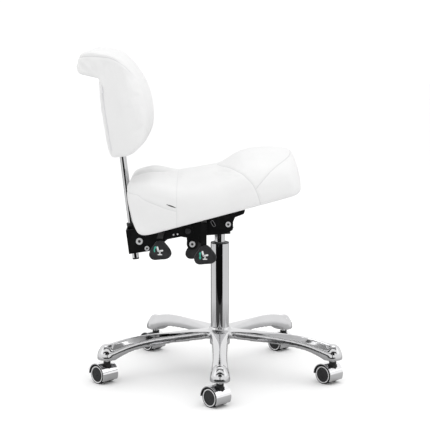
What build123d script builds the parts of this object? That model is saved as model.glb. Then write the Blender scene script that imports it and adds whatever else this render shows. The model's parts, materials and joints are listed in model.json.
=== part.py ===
from build123d import *
from math import atan, cos, degrees, hypot, pi, radians, sin, sqrt
import os

# Pedicure stool: five-arm base on twin-wheel casters, gas column, three-lever tilt mechanism, saddle seat
# and curled backrest.  Millimetres.  X points forwards, the way the sitter faces, Y to the sitter's left,
# Z up.  The origin is on the floor, on the axis of the gas column.

# ---------------------------------------------------------------- driving dimensions
ARM_COUNT = 5
FIRST_ARM_ANGLE = -90.0
STEM_CIRCLE_R = 316.5          # column axis to caster stem
HUB_R = 27.5
HUB_BOTTOM_Z = 83.0
HUB_TOP_Z = 135.0
HUB_COLLAR_R = 28.6
HUB_COLLAR_H = 6.0
ARM_WALL = 4.5
NOSE_R = 26.0                  # dome over the caster stem
NOSE_BOTTOM_Z = 65.5
NOSE_TOP_Z = 107.5
STEM_BOSS_R = 10.0
STEM_BOSS_BOTTOM_Z = 68.0

STEM_R = 5.5
STEM_BOTTOM_Z = 42.0
STEM_TOP_Z = 96.0

COLUMN_R = 25.0
COLUMN_WALL = 1.5
COLUMN_FOOT_R = 24.4           # the tube tapers into the hub
COLUMN_BOTTOM_Z = 86.0
COLUMN_TOP_Z = 364.0
COLUMN_FLOOR_T = 3.0
BUSH_LENGTH = 108.0
BUSH_LIP_R = 24.7
BUSH_LIP_H = 2.4

TUBE_R = 14.0                  # pressure tube
TUBE_BORE_R = 12.5
TUBE_BOTTOM_Z = 118.0
TUBE_CAP_T = 8.0
TUBE_CHAMBER_TOP_Z = 398.0
TAPER_START_Z = 391.0
TAPER_TOP_Z = 432.0
TAPER_TOP_R = 13.1

ROD_R = 5.0
ROD_BOTTOM_Z = 79.0
ROD_COLLAR_R = 8.0
PISTON_H = 10.0
PISTON_TOP_Z = 396.0
CLIP_T = 1.6
BEARING_R = 12.0
BEARING_T = 6.0
RUNNING = 0.06                 # radial clearance of every running fit
FACE_GAP = 0.3                 # gap between faces that slide past each other

PIN_R = 4.0                    # release pin in the top of the pressure tube
PIN_TOP_Z = 439.6
PIN_LENGTH = 30.0

WHEEL_R = 25.0
WHEEL_INNER_Y = 9.0
WHEEL_OUTER_Y = 24.0
WHEEL_FACE_RECESS_R = 22.6
WHEEL_FACE_RECESS_T = 1.0
AXLE_R = 3.0
AXLE_HALF = 21.0
CASTER_TRAIL = 15.0
CASTER_HEADING = 135.0         # direction in which the casters trail in plan
LINING_INNER_R = 26.3
HOOD_INNER_R = 28.3
HOOD_OUTER_R = 30.0
HOOD_HALF_WIDTH = 25.6
HOOD_FRONT_ANGLE = 210.0       # hood's lower front edge, measured about the axle from the trailing side
CASTER_WEB_HALF = 8.4
NECK_R = 9.6
NECK_TOP_Z = 60.0
NECK_BOTTOM_Z = 51.0

SEAT_SLOPE = 0.27              # rise of the cushion's underside per unit forwards
SEAT_PLANE_Z = 464.3           # underside of the cushion above the origin
SEAT_HALF_WIDTH = 190.0
SEAT_FRONT_HALF_WIDTH = 182.0
BOARD_T = 12.0
BOARD_INSET = 24.0
BAR_SCALLOP_R = 24.0           # hollow in the rear of the cushion behind which the back bar stands
BOARD_REAR_X = -178.0
BOARD_FRONT_X = 178.0
BOARD_REAR_CORNER_R = 40.0
BOARD_FRONT_CORNER_R = 70.0
PLATE_T = 3.0

PIVOT_X = 22.0                 # front pivot, about which the seat tilts
PIVOT_Z = 424.6
PIVOT_R = 5.0
REAR_PIVOT_X = -85.0           # rear pivot, about which the back arm reclines
REAR_PIVOT_Z = 406.0
REAR_PIVOT_R = 5.0
WALL_OUT_Y = 57.0              # channel's side walls
WALL_T = 3.0
FLANGE_IN_Y = 58.0             # seat flanges and back-arm plates run outside the channel
FLANGE_OUT_Y = 61.0
SOCKET_R = 16.4

BAR_R = 9.0
BAR_FOOT_X = -228.4
BAR_FOOT_Z = 330.0
BAR_TOP_X = -258.9             # a point on the bar's axis a little below the backrest
BAR_TOP_Z = 594.5
BAR_BORE_R = 7.0
BAR_INSERTION = 137.0
GUIDE_R = 12.5
GUIDE_BUSH_R = 10.5
BACK_HALF_WIDTH = 188.0
BACK_BOARD_T = 10.0

LEVER_W = 15.0
LEVER_T = 3.0
PADDLE_W = 58.0
PADDLE_H = 43.0
PADDLE_T = 10.0
PADDLE_Y = 150.0

os.makedirs("parts", exist_ok=True)


# ---------------------------------------------------------------- helpers
def save(shape, name):
    """Write one node."""
    export_step(shape, f"parts/{name}.step")


def cylinder_z(radius, bottom, top, x=0.0, y=0.0):
    """Upright cylinder between two heights."""
    return Pos(x, y, (bottom + top) / 2) * Cylinder(radius, top - bottom)


def cylinder_y(radius, y_from, y_to, x, z):
    """Cylinder along Y."""
    return Pos(x, (y_from + y_to) / 2, z) * Rot(90, 0, 0) * Cylinder(radius, abs(y_to - y_from))


def box_between(low, high):
    """Axis-aligned box between two corners."""
    size = [b - a for a, b in zip(low, high)]
    centre = [(a + b) / 2 for a, b in zip(low, high)]
    return Pos(*centre) * Box(*size)


def side_plate(outline, y_from, y_to):
    """Prism of an XZ outline between two Y positions."""
    wire = Polyline([(x, 0, z) for x, z in outline], close=True)
    face = make_face(wire)
    low, high = sorted((y_from, y_to))
    return Pos(0, low, 0) * extrude(face, amount=high - low, dir=(0, 1, 0))


def turned(points):
    """Solid of revolution about Z from an (r, z) outline."""
    outline = Polyline([(r, 0, z) for r, z in points], close=True)
    return revolve(make_face(outline), Axis.Z)


def arc_shell(inner_r, outer_r, start, end, half_width):
    """Part of a cylindrical shell about Y, from start to end degrees, measured from +X towards +Z."""
    ring = Circle(outer_r) - Circle(inner_r)
    reach = outer_r * 3
    steps = 8
    fan = [(0, 0)]
    for i in range(steps + 1):
        angle = radians(start + (end - start) * i / steps)
        fan.append((reach * cos(angle), reach * sin(angle)))
    sector = make_face(Polyline(fan, close=True))
    piece = ring & sector
    return Rot(90, 0, 0) * Pos(0, 0, -half_width) * extrude(piece, amount=2 * half_width)


def seat_underside_z(x):
    """Height of the cushion's underside."""
    return SEAT_PLANE_Z + SEAT_SLOPE * x


SEAT_TILT = degrees(atan(SEAT_SLOPE))
SEAT_FRAME = Pos(0, 0, SEAT_PLANE_Z) * Rot(0, -SEAT_TILT, 0)

BAR_RUN = hypot(BAR_TOP_X - BAR_FOOT_X, BAR_TOP_Z - BAR_FOOT_Z)
BAR_LEAN = degrees(atan((BAR_TOP_X - BAR_FOOT_X) / (BAR_TOP_Z - BAR_FOOT_Z)))
BAR_FRAME = Pos(BAR_TOP_X, 0, BAR_TOP_Z) * Rot(0, BAR_LEAN, 0)


# ---------------------------------------------------------------- base
# radius, half width, top height, half width of the flat top, shoulder height, bottom height
ARM_STATIONS = [
    (18.0, 24.0, 125.5, 23.0, 124.0, 106.0),
    (60.0, 23.4, 126.5, 19.0, 123.5, 104.5),
    (110.0, 21.6, 127.0, 11.0, 121.0, 102.0),
    (165.0, 19.8, 126.5, 4.5, 117.5, 98.5),
    (215.0, 19.0, 124.5, 2.5, 111.0, 93.0),
    (260.0, 20.0, 119.0, 2.5, 101.5, 83.5),
    (292.0, 23.0, 111.8, 4.0, 91.5, 70.0),
    (STEM_CIRCLE_R, 25.0, 105.5, 7.0, 84.0, NOSE_BOTTOM_Z),
]


def arm_section(radius, half, top, flat, shoulder, bottom):
    """Six-sided cross-section of an arm that runs along +X."""
    outline = [
        (radius, -half, bottom),
        (radius, -half + 0.6, shoulder),
        (radius, -flat, top),
        (radius, flat, top),
        (radius, half - 0.6, shoulder),
        (radius, half, bottom),
    ]
    return make_face(Polyline(outline, close=True))


def arm_hollow(radius, half, top, flat, shoulder, bottom):
    """Cross-section of the space under an arm."""
    inner = half - ARM_WALL
    outline = [
        (radius, -inner, bottom - 30),
        (radius, -inner, shoulder - ARM_WALL),
        (radius, -inner * 0.35, top - 2.2 * ARM_WALL),
        (radius, inner * 0.35, top - 2.2 * ARM_WALL),
        (radius, inner, shoulder - ARM_WALL),
        (radius, inner, bottom - 30),
    ]
    return make_face(Polyline(outline, close=True))


def nose_dome(radius, bottom, top):
    """Dome over a caster stem: steep sides, rounded top."""
    height = top - bottom
    side = Spline(
        [(radius, 0, bottom), (radius * 0.955, 0, bottom + 0.36 * height),
         (radius * 0.66, 0, bottom + 0.78 * height), (0, 0, top)],
        tangents=[(-0.02, 0, 1), (-1, 0, 0)],
    )
    base_line = Line((0, 0, bottom), (radius, 0, bottom))
    axis_line = Line((0, 0, top), (0, 0, bottom))
    return revolve(make_face([base_line, side, axis_line]), Axis.Z)


def base_arm():
    """One arm along +X, with its hood and stem boss."""
    body = loft([arm_section(*station) for station in ARM_STATIONS])
    body += Pos(STEM_CIRCLE_R, 0, 0) * nose_dome(NOSE_R, NOSE_BOTTOM_Z, NOSE_TOP_Z)
    body -= loft([arm_hollow(*station) for station in ARM_STATIONS[1:-1]])
    inner_dome = nose_dome(NOSE_R - ARM_WALL, NOSE_BOTTOM_Z - 0.1, NOSE_TOP_Z - 2 * ARM_WALL)
    body -= Pos(STEM_CIRCLE_R, 0, 0) * inner_dome
    boss = cylinder_z(STEM_BOSS_R, STEM_BOSS_BOTTOM_Z, NOSE_TOP_Z - 2 * ARM_WALL + 1, STEM_CIRCLE_R)
    return body + boss


def hub_web():
    """Fillets that join the arms round the hub, in plan a five-armed star with rounded crotches."""
    reach = 56.0
    half = 23.5
    plan = Circle(HUB_R)
    for i in range(ARM_COUNT):
        plan += Rot(0, 0, FIRST_ARM_ANGLE + 72 * i) * Pos(reach / 2, 0) * Rectangle(reach, 2 * half)
    crotches = [v for v in plan.vertices() if hypot(v.X, v.Y) < reach * 0.9]
    plan = fillet(crotches, 14)
    return Pos(0, 0, 106.5) * extrude(plan, amount=17.0)


def star_base():
    """Cast five-arm base."""
    arm = base_arm()
    body = cylinder_z(HUB_R, HUB_BOTTOM_Z, HUB_TOP_Z) + hub_web()
    body += cylinder_z(HUB_COLLAR_R, HUB_TOP_Z - HUB_COLLAR_H, HUB_TOP_Z)
    for i in range(ARM_COUNT):
        body += Rot(0, 0, FIRST_ARM_ANGLE + 72 * i) * arm
    body -= turned([
        (0, HUB_BOTTOM_Z - 1), (COLUMN_FOOT_R, HUB_BOTTOM_Z - 1), (COLUMN_FOOT_R, COLUMN_BOTTOM_Z),
        (COLUMN_R, HUB_TOP_Z), (COLUMN_R, HUB_TOP_Z + 1), (0, HUB_TOP_Z + 1),
    ])
    for i in range(ARM_COUNT):
        body -= Rot(0, 0, FIRST_ARM_ANGLE + 72 * i) * cylinder_z(STEM_R, 60, STEM_TOP_Z, STEM_CIRCLE_R)
    return body


def stem_positions():
    """Plan positions of the caster stems."""
    places = []
    for i in range(ARM_COUNT):
        angle = radians(FIRST_ARM_ANGLE + 72 * i)
        places.append((STEM_CIRCLE_R * cos(angle), STEM_CIRCLE_R * sin(angle)))
    return places


def caster_stems():
    """Steel stems pressed into the arms."""
    stems = [cylinder_z(STEM_R, STEM_BOTTOM_Z, STEM_TOP_Z, x, y) for x, y in stem_positions()]
    return Compound(children=stems)


save(star_base(), "star_base")
save(caster_stems(), "caster_stems")


# ---------------------------------------------------------------- gas column
def gas_outer_tube():
    """Chrome outer tube with its floor and tapered foot."""
    outer = turned([
        (0, COLUMN_BOTTOM_Z), (COLUMN_FOOT_R, COLUMN_BOTTOM_Z), (COLUMN_R, HUB_TOP_Z),
        (COLUMN_R, COLUMN_TOP_Z), (0, COLUMN_TOP_Z),
    ])
    inner_foot_r = COLUMN_FOOT_R - COLUMN_WALL
    outer -= turned([
        (0, COLUMN_BOTTOM_Z + COLUMN_FLOOR_T), (inner_foot_r, COLUMN_BOTTOM_Z + COLUMN_FLOOR_T),
        (COLUMN_R - COLUMN_WALL, HUB_TOP_Z), (COLUMN_R - COLUMN_WALL, COLUMN_TOP_Z + 1),
        (0, COLUMN_TOP_Z + 1),
    ])
    return outer - cylinder_z(ROD_R + RUNNING, COLUMN_BOTTOM_Z - 1, COLUMN_BOTTOM_Z + 10)


def guide_bush():
    """Plastic bush that guides the pressure tube."""
    body = cylinder_z(COLUMN_R - COLUMN_WALL, COLUMN_TOP_Z - BUSH_LENGTH, COLUMN_TOP_Z)
    body += cylinder_z(BUSH_LIP_R, COLUMN_TOP_Z, COLUMN_TOP_Z + BUSH_LIP_H)
    return body - cylinder_z(TUBE_R + RUNNING, COLUMN_TOP_Z - BUSH_LENGTH - 1, COLUMN_TOP_Z + BUSH_LIP_H + 1)


BEARING_BOTTOM_Z = COLUMN_BOTTOM_Z + COLUMN_FLOOR_T
BEARING_TOP_Z = BEARING_BOTTOM_Z + BEARING_T


def thrust_bearing():
    """Washer bearing that carries the rod's collar."""
    body = cylinder_z(BEARING_R, BEARING_BOTTOM_Z, BEARING_TOP_Z)
    return body - cylinder_z(ROD_R + RUNNING, BEARING_BOTTOM_Z - 1, BEARING_TOP_Z + 1)


def piston_rod():
    """Rod with its thrust collar and piston."""
    body = cylinder_z(ROD_R, ROD_BOTTOM_Z, PISTON_TOP_Z)
    body += cylinder_z(ROD_COLLAR_R, BEARING_TOP_Z + 0.05, BEARING_TOP_Z + 3.5)
    body += cylinder_z(TUBE_BORE_R - RUNNING, PISTON_TOP_Z - PISTON_H, PISTON_TOP_Z)
    groove_top = COLUMN_BOTTOM_Z - 0.2
    body -= cylinder_z(ROD_R + 1, groove_top - CLIP_T, groove_top) - cylinder_z(
        ROD_R - 1, groove_top - CLIP_T, groove_top)
    return body


def rod_clip():
    """Clip that holds the rod under the column's floor."""
    top = COLUMN_BOTTOM_Z - 0.2
    return cylinder_z(8.0, top - CLIP_T, top) - cylinder_z(ROD_R - 1, top - CLIP_T - 1, top + 1)


def pressure_tube():
    """Chrome pressure tube with its tapered head."""
    body = turned([
        (0, TUBE_BOTTOM_Z), (TUBE_R, TUBE_BOTTOM_Z), (TUBE_R, TAPER_START_Z),
        (TAPER_TOP_R, TAPER_TOP_Z), (0, TAPER_TOP_Z),
    ])
    body -= cylinder_z(TUBE_BORE_R, TUBE_BOTTOM_Z + TUBE_CAP_T, TUBE_CHAMBER_TOP_Z)
    body -= cylinder_z(ROD_R + RUNNING, TUBE_BOTTOM_Z - 1, TUBE_BOTTOM_Z + TUBE_CAP_T + 1)
    pin_bottom = PIN_TOP_Z - PIN_LENGTH
    return body - cylinder_z(PIN_R + RUNNING, pin_bottom - 5, TAPER_TOP_Z + 1)


save(gas_outer_tube(), "gas_outer_tube")
save(guide_bush(), "guide_bush")
save(thrust_bearing(), "thrust_bearing")
save(piston_rod(), "piston_rod")
save(rod_clip(), "rod_clip")
save(pressure_tube(), "pressure_tube")
save(cylinder_z(PIN_R, PIN_TOP_Z - PIN_LENGTH, PIN_TOP_Z), "release_pin")


# ---------------------------------------------------------------- casters
# Each caster is built with its stem at x = 0, y = 0, trailing towards +X and with its axle along Y.
def caster_body():
    """Black body: lining over the wheels, web between them, and neck."""
    at_axle = Pos(CASTER_TRAIL, 0, WHEEL_R)
    lining = at_axle * arc_shell(LINING_INNER_R, HOOD_INNER_R, 0, HOOD_FRONT_ANGLE, HOOD_HALF_WIDTH)
    web = cylinder_y(LINING_INNER_R + 0.5, -CASTER_WEB_HALF, CASTER_WEB_HALF, CASTER_TRAIL, WHEEL_R)
    web -= box_between((-40, -40, -10), (60, 40, WHEEL_R - 9))
    horn = box_between((-8.2, -CASTER_WEB_HALF, 44.2), (6, CASTER_WEB_HALF, NECK_BOTTOM_Z + 1))
    neck = cylinder_z(NECK_R, NECK_BOTTOM_Z, NECK_TOP_Z)
    body = lining + web + horn + neck
    body -= cylinder_z(STEM_R + RUNNING, STEM_BOTTOM_Z - FACE_GAP, NECK_TOP_Z + 1)
    return body - cylinder_y(AXLE_R, -30, 30, CASTER_TRAIL, WHEEL_R)


def caster_hood():
    """Chrome cap over the lining, notched round the neck."""
    hood = Pos(CASTER_TRAIL, 0, WHEEL_R) * arc_shell(
        HOOD_INNER_R, HOOD_OUTER_R, 0, HOOD_FRONT_ANGLE, HOOD_HALF_WIDTH)
    notch = box_between((-30, -NECK_R - 0.4, 43.8), (0, NECK_R + 0.4, 70))
    return hood - notch - cylinder_z(NECK_R + 0.4, 40, 70)


def caster_wheel(side):
    """One wheel; side is -1 or +1 along Y."""
    inner = side * WHEEL_INNER_Y
    outer = side * WHEEL_OUTER_Y
    body = cylinder_y(WHEEL_R, inner, outer, CASTER_TRAIL, WHEEL_R)
    body = fillet(body.edges().filter_by(GeomType.CIRCLE), 1.5)
    recess_y = outer - side * WHEEL_FACE_RECESS_T
    body -= cylinder_y(WHEEL_FACE_RECESS_R, recess_y, outer + side, CASTER_TRAIL, WHEEL_R)
    bore_end = side * (AXLE_HALF + FACE_GAP)
    return body - cylinder_y(AXLE_R + RUNNING, inner - side, bore_end, CASTER_TRAIL, WHEEL_R)


def caster_axle():
    """Steel axle pressed through the web."""
    return cylinder_y(AXLE_R, -AXLE_HALF, AXLE_HALF, CASTER_TRAIL, WHEEL_R)


for number, (stem_x, stem_y) in enumerate(stem_positions(), start=1):
    place = Pos(stem_x, stem_y, 0) * Rot(0, 0, CASTER_HEADING)
    save(place * caster_body(), f"caster_{number}_body")
    save(place * caster_hood(), f"caster_{number}_hood")
    save(place * caster_axle(), f"caster_{number}_axle")
    save(place * caster_wheel(-1), f"caster_{number}_wheel_right")
    save(place * caster_wheel(1), f"caster_{number}_wheel_left")


# ---------------------------------------------------------------- fixed part of the mechanism
CHANNEL_WALL = [
    (-104, 392), (-88, 389), (-50, 393), (10, 397), (34, 408), (36, 438),
    (10, 441), (-26, 440), (-64, 430), (-104, 419),
]
LIFT_NOTCH = ((-51.5, 438.6), (-32.5, 452))
SEAT_LEVER_NOTCH = ((-64.5, 401.0), (-47.5, 408.0))
LIFT_PLATE_Z = 441.5


def channel():
    """Folded steel channel on top of the column."""
    body = side_plate(CHANNEL_WALL, WALL_OUT_Y - WALL_T, WALL_OUT_Y)
    body += side_plate(CHANNEL_WALL, -WALL_OUT_Y, -WALL_OUT_Y + WALL_T)
    floor_outline = [
        (-98, 391.5), (-88, 389), (-50, 393), (28, 398.2), (28, 401.2), (-50, 396), (-88, 392), (-98, 394.5),
    ]
    floor = side_plate(floor_outline, -WALL_OUT_Y + 1, WALL_OUT_Y - 1)
    body += floor
    body -= cylinder_z(SOCKET_R, 380, 440)
    body -= cylinder_y(PIVOT_R, -70, 70, PIVOT_X, PIVOT_Z)
    body -= cylinder_y(REAR_PIVOT_R, -70, 70, REAR_PIVOT_X, REAR_PIVOT_Z)
    (x0, z0), (x1, z1) = LIFT_NOTCH
    body -= box_between((x0, -70, z0), (x1, -40, z1))
    (x0, z0), (x1, z1) = SEAT_LEVER_NOTCH
    return body - box_between((x0, 40, z0), (x1, 70, z1))


def taper_socket():
    """Steel socket welded into the channel, holding the taper of the pressure tube."""
    body = cylinder_z(SOCKET_R, 390.0, TAPER_TOP_Z)
    return body - turned([
        (0, 389), (TUBE_R, 389), (TUBE_R, TAPER_START_Z), (TAPER_TOP_R, TAPER_TOP_Z),
        (TAPER_TOP_R, TAPER_TOP_Z + 1), (0, TAPER_TOP_Z + 1),
    ])


def cross_bolt(x, z, radius, head_r, head_t, head_y, end_y):
    """Bolt along Y with its socket head on the -Y side."""
    body = cylinder_y(radius, -head_y, end_y, x, z)
    head = cylinder_y(head_r, -head_y - head_t, -head_y, x, z)
    socket = extrude(Pos(x, -head_y - head_t, z) * Rot(90, 0, 0) * RegularPolygon(head_r * 0.5, 6),
                     amount=-head_t * 0.6)
    return body + (head - socket)


def hex_nut(x, z, bore_r, across_r, y_from, y_to):
    """Nut along Y."""
    prism = Pos(x, (y_from + y_to) / 2, z) * Rot(90, 0, 0) * extrude(
        RegularPolygon(across_r, 6), amount=(y_to - y_from) / 2, both=True)
    return prism - cylinder_y(bore_r, y_from - 1, y_to + 1, x, z)


HEAD_Y = FLANGE_OUT_Y + FACE_GAP
NUT_T = 6.0


def pivot_nuts():
    """Nuts on the far ends of both pivot bolts and of the lock bolt."""
    nuts = [
        hex_nut(PIVOT_X, PIVOT_Z, PIVOT_R, 9, HEAD_Y, HEAD_Y + NUT_T),
        hex_nut(REAR_PIVOT_X, REAR_PIVOT_Z, REAR_PIVOT_R, 9, HEAD_Y, HEAD_Y + NUT_T),
        hex_nut(LOCK_BOLT_X, LOCK_BOLT_Z, LOCK_BOLT_R, 8, LOCK_OUT_Y, LOCK_OUT_Y + NUT_T),
    ]
    return Compound(children=nuts)


LOCK_BOLT_X = -73.5
LOCK_BOLT_Z = 370.0
LOCK_BOLT_R = 4.0
LOCK_OUT_Y = 53.9
LOCK_T = 3.0


def lock_bracket():
    """Two hanging cheeks that carry the seat-tilt clamp, welded inside the channel's walls."""
    body = None
    for side in (-1, 1):
        cheek = side_plate(
            [(-91, 412), (-88, 380), (-88.5, 370), (-58.5, 370), (-57, 384), (-57, 412)],
            side * (LOCK_OUT_Y - LOCK_T), side * LOCK_OUT_Y)
        cheek += cylinder_y(15.0, side * (LOCK_OUT_Y - LOCK_T), side * LOCK_OUT_Y, LOCK_BOLT_X, LOCK_BOLT_Z)
        body = cheek if body is None else body + cheek
    body += box_between((-90, -LOCK_OUT_Y, 396.3), (-76, LOCK_OUT_Y, 399.3))
    body -= cylinder_y(LOCK_BOLT_R, -70, 70, LOCK_BOLT_X, LOCK_BOLT_Z)
    body -= cylinder_y(REAR_PIVOT_R + 0.2, -70, 70, REAR_PIVOT_X, REAR_PIVOT_Z)
    (x0, z0), (x1, z1) = SEAT_LEVER_NOTCH
    body -= box_between((x0, 40, z0), (x1, 70, z1))
    floor_cut = side_plate(
        [(-98, 391.3), (-88, 388.8), (-50, 392.8), (-50, 396.2), (-88, 392.2), (-98, 394.7)], -70, 70)
    return body - floor_cut


save(channel(), "mechanism_channel")
save(taper_socket(), "taper_socket")
save(cross_bolt(PIVOT_X, PIVOT_Z, PIVOT_R, 7.2, 4.5, HEAD_Y, HEAD_Y + NUT_T + 1), "front_pivot_bolt")
save(cross_bolt(REAR_PIVOT_X, REAR_PIVOT_Z, REAR_PIVOT_R, 7.6, 4.0, HEAD_Y, HEAD_Y + NUT_T + 1),
     "rear_pivot_bolt")
save(pivot_nuts(), "pivot_nuts")
save(lock_bracket(), "lock_bracket")
save(cross_bolt(LOCK_BOLT_X, LOCK_BOLT_Z, LOCK_BOLT_R, 8.0, 5.0, LOCK_OUT_Y, LOCK_OUT_Y + NUT_T + 1),
     "lock_bolt")


# ---------------------------------------------------------------- seat
SEAT_BOLT_PLACES = [(x, y) for x in (-118.0, 52.0) for y in (-69.5, 69.5)]
SEAT_BOLT_R = 4.0
SEAT_PLATE_X = (-140.0, 74.0)
SEAT_PLATE_HALF_WIDTH = 78.0


FLANGE_SLOT_X = -18.0
FLANGE_SLOT_Z = 426.0
FLANGE_SLOT_LENGTH = 17.0
FLANGE_SLOT_WIDTH = 6.0
FLANGE_SLOT_ANGLE = 60.0


def seat_plate():
    """Pressed plate under the seat board, with the two flanges that turn on the front pivot."""
    x0, x1 = SEAT_PLATE_X
    plate = box_between((x0, -SEAT_PLATE_HALF_WIDTH, -PLATE_T), (x1, SEAT_PLATE_HALF_WIDTH, 0))
    for x, y in SEAT_BOLT_PLACES:
        plate -= cylinder_z(SEAT_BOLT_R + 0.2, -10, 10, x, y)
    body = SEAT_FRAME * plate
    outline = [
        (-29, 395.5), (1.5, 398), (18, 404), (32, 410), (36, 414), (34, 428), (40, 443),
        (63, 452), (66, 459), (67, seat_underside_z(67) - 1), (-31, seat_underside_z(-31) - 1),
    ]
    for side in (-1, 1):
        body += side_plate(outline, side * FLANGE_IN_Y, side * FLANGE_OUT_Y)
    slot = Rot(90, 0, 0) * extrude(SlotOverall(FLANGE_SLOT_LENGTH, FLANGE_SLOT_WIDTH), amount=70, both=True)
    body -= Pos(FLANGE_SLOT_X, 0, FLANGE_SLOT_Z) * Rot(0, FLANGE_SLOT_ANGLE, 0) * slot
    return body - cylinder_y(PIVOT_R + RUNNING, -70, 70, PIVOT_X, PIVOT_Z)


def seat_outline():
    """Side outline of the seat cushion."""
    rear_low = (-199, seat_underside_z(-199) + 8)
    foot_rear = (-184, seat_underside_z(-184))
    foot_front = (188, seat_underside_z(188))
    nose_low = (205, 528)
    front = Spline([nose_low, (208, 543), (201, 576), (192, 611)])
    top = Spline([(192, 611), (179, 618), (133, 623), (80, 618), (40, 605), (-8, 578), (-40, 572),
                  (-107, 562), (-168, 563), (-206, 557), (-228, 550), (-239, 540)])
    rear = Spline([(-239, 540), (-240, 526), (-224, 453), rear_low])
    low_rear = Line((rear_low[0], rear_low[1]), foot_rear)
    bottom = Line(foot_rear, foot_front)
    low_front = Line(foot_front, nose_low)
    return [front, top, rear, low_rear, bottom, low_front]


def seat_plan_prism():
    """Prism of the seat's plan outline: parallel sides that narrow towards the front."""
    half = SEAT_HALF_WIDTH
    narrow = SEAT_FRONT_HALF_WIDTH
    outline = [
        (-260, -half + 34), (-222, -half + 8), (-180, -half), (40, -half), (120, -half + 2), (230, -narrow),
        (230, narrow), (120, half - 2), (40, half), (-180, half), (-222, half - 8), (-260, half - 34),
    ]
    return Pos(0, 0, 380) * extrude(make_face(Polyline(outline, close=True)), amount=300)


def flat_to_side(edges):
    """Turn edges drawn as (x, z) in the XY plane up into the XZ plane."""
    return [Rot(90, 0, 0) * edge for edge in edges]


def seat_board_blank(bottom):
    """Board with rounded corners, in the seat's own frame, down to the given height."""
    half = SEAT_HALF_WIDTH - BOARD_INSET
    blank = box_between((BOARD_REAR_X, -half, bottom), (BOARD_FRONT_X, half, BOARD_T))
    corners = blank.edges().filter_by(Axis.Z)
    blank = fillet([edge for edge in corners if edge.center().X < 0], BOARD_REAR_CORNER_R)
    front = [edge for edge in blank.edges().filter_by(Axis.Z) if edge.center().X > BOARD_FRONT_X - 1]
    return fillet(front, BOARD_FRONT_CORNER_R)


def seat_board():
    """Plywood board at the bottom of the cushion."""
    board = seat_board_blank(0.1)
    for x, y in SEAT_BOLT_PLACES:
        board -= cylinder_z(SEAT_BOLT_R + 0.2, -1, BOARD_T + 1, x, y)
    return SEAT_FRAME * board


def seat_board_pocket():
    """Space that the board fills in the cushion, with room for the bolt ends."""
    pocket = seat_board_blank(-2)
    for x, y in SEAT_BOLT_PLACES:
        pocket += cylinder_z(SEAT_BOLT_R + 1, 0, BOARD_T + 4, x, y)
    return SEAT_FRAME * pocket


def seat_cushion():
    """Foam saddle cushion: side outline cut to the plan outline."""
    side = make_face(Wire(flat_to_side(seat_outline())))
    body = Pos(0, SEAT_HALF_WIDTH, 0) * extrude(side, amount=2 * SEAT_HALF_WIDTH, dir=(0, -1, 0))
    body = body & seat_plan_prism()
    body -= BAR_FRAME * cylinder_z(BAR_SCALLOP_R, -170, 10)
    return body - seat_board_pocket()


def seat_screws():
    """Bolts through the seat plate into the board."""
    bolts = []
    for x, y in SEAT_BOLT_PLACES:
        bolt = cylinder_z(SEAT_BOLT_R, -PLATE_T, BOARD_T + 2, x, y)
        bolt += cylinder_z(SEAT_BOLT_R * 1.7, -PLATE_T - 4, -PLATE_T, x, y)
        bolts.append(SEAT_FRAME * bolt)
    return Compound(children=bolts)


save(seat_plate(), "seat_plate")
save(seat_board(), "seat_board")
save(seat_cushion(), "seat_cushion")
save(seat_screws(), "seat_screws")


# ---------------------------------------------------------------- back arm
CROSS_BOLTS = [(-214.0, 379.0, 5.0, 9.0), (-194.0, 360.0, 4.0, 6.2)]
ARM_PLATE = [
    (-70.5, 398), (-77, 391.5), (-90, 388.5), (-103, 391), (-139, 384), (-160, 366), (-189, 352),
    (-242, 344), (-250, 408), (-222, 412), (-205, 400), (-190, 399), (-150, 410), (-96, 419),
    (-80, 420.5), (-72, 415),
]
BACK_LEVER_X = -156.0
BACK_LEVER_Z = 400.0


def back_arm():
    """Two side plates, rear web and guide tube for the bar."""
    body = side_plate(ARM_PLATE, FLANGE_IN_Y, FLANGE_OUT_Y)
    body += side_plate(ARM_PLATE, -FLANGE_OUT_Y, -FLANGE_IN_Y)
    web = [(-242, 344), (-239.4, 344.5), (-247.4, 408.4), (-250, 408)]
    body += side_plate(web, -FLANGE_IN_Y - 0.5, FLANGE_IN_Y + 0.5)
    floor = [(-242, 344), (-205, 349.6), (-205.4, 352.6), (-242.4, 347)]
    body += side_plate(floor, -FLANGE_IN_Y - 0.5, FLANGE_IN_Y + 0.5)
    guide = BAR_FRAME * cylinder_z(GUIDE_R, -252, -184)
    body += guide
    body -= BAR_FRAME * cylinder_z(BAR_R + RUNNING, -300, -150)
    body -= BAR_FRAME * cylinder_z(GUIDE_BUSH_R, -196, -150)
    body -= cylinder_y(REAR_PIVOT_R + RUNNING, -70, 70, REAR_PIVOT_X, REAR_PIVOT_Z)
    for x, z, radius, _ in CROSS_BOLTS:
        body -= cylinder_y(radius, -80, 80, x, z)
    slot_low = (BACK_LEVER_X - 9, -70, BACK_LEVER_Z - 2.4)
    slot_high = (BACK_LEVER_X + 9, -50, BACK_LEVER_Z + 2.4)
    return body - box_between(slot_low, slot_high)


def bar_bush():
    """Collar bush at the top of the guide tube."""
    body = cylinder_z(GUIDE_BUSH_R, -196, -184) + cylinder_z(GUIDE_R + 0.8, -184, -176)
    return BAR_FRAME * (body - cylinder_z(BAR_R + RUNNING, -200, -170))


def bar_clamp_screws():
    """Cross bolts of the box with their nuts."""
    pieces = []
    for x, z, radius, head_r in CROSS_BOLTS:
        pieces.append(cross_bolt(x, z, radius, head_r, 5.0, FLANGE_OUT_Y, FLANGE_OUT_Y + NUT_T + 1))
        pieces.append(hex_nut(x, z, radius, radius * 1.8, FLANGE_OUT_Y, FLANGE_OUT_Y + NUT_T))
    return Compound(children=pieces)


save(back_arm(), "back_arm")
save(bar_bush(), "bar_bush")
save(bar_clamp_screws(), "bar_clamp_screws")


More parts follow.
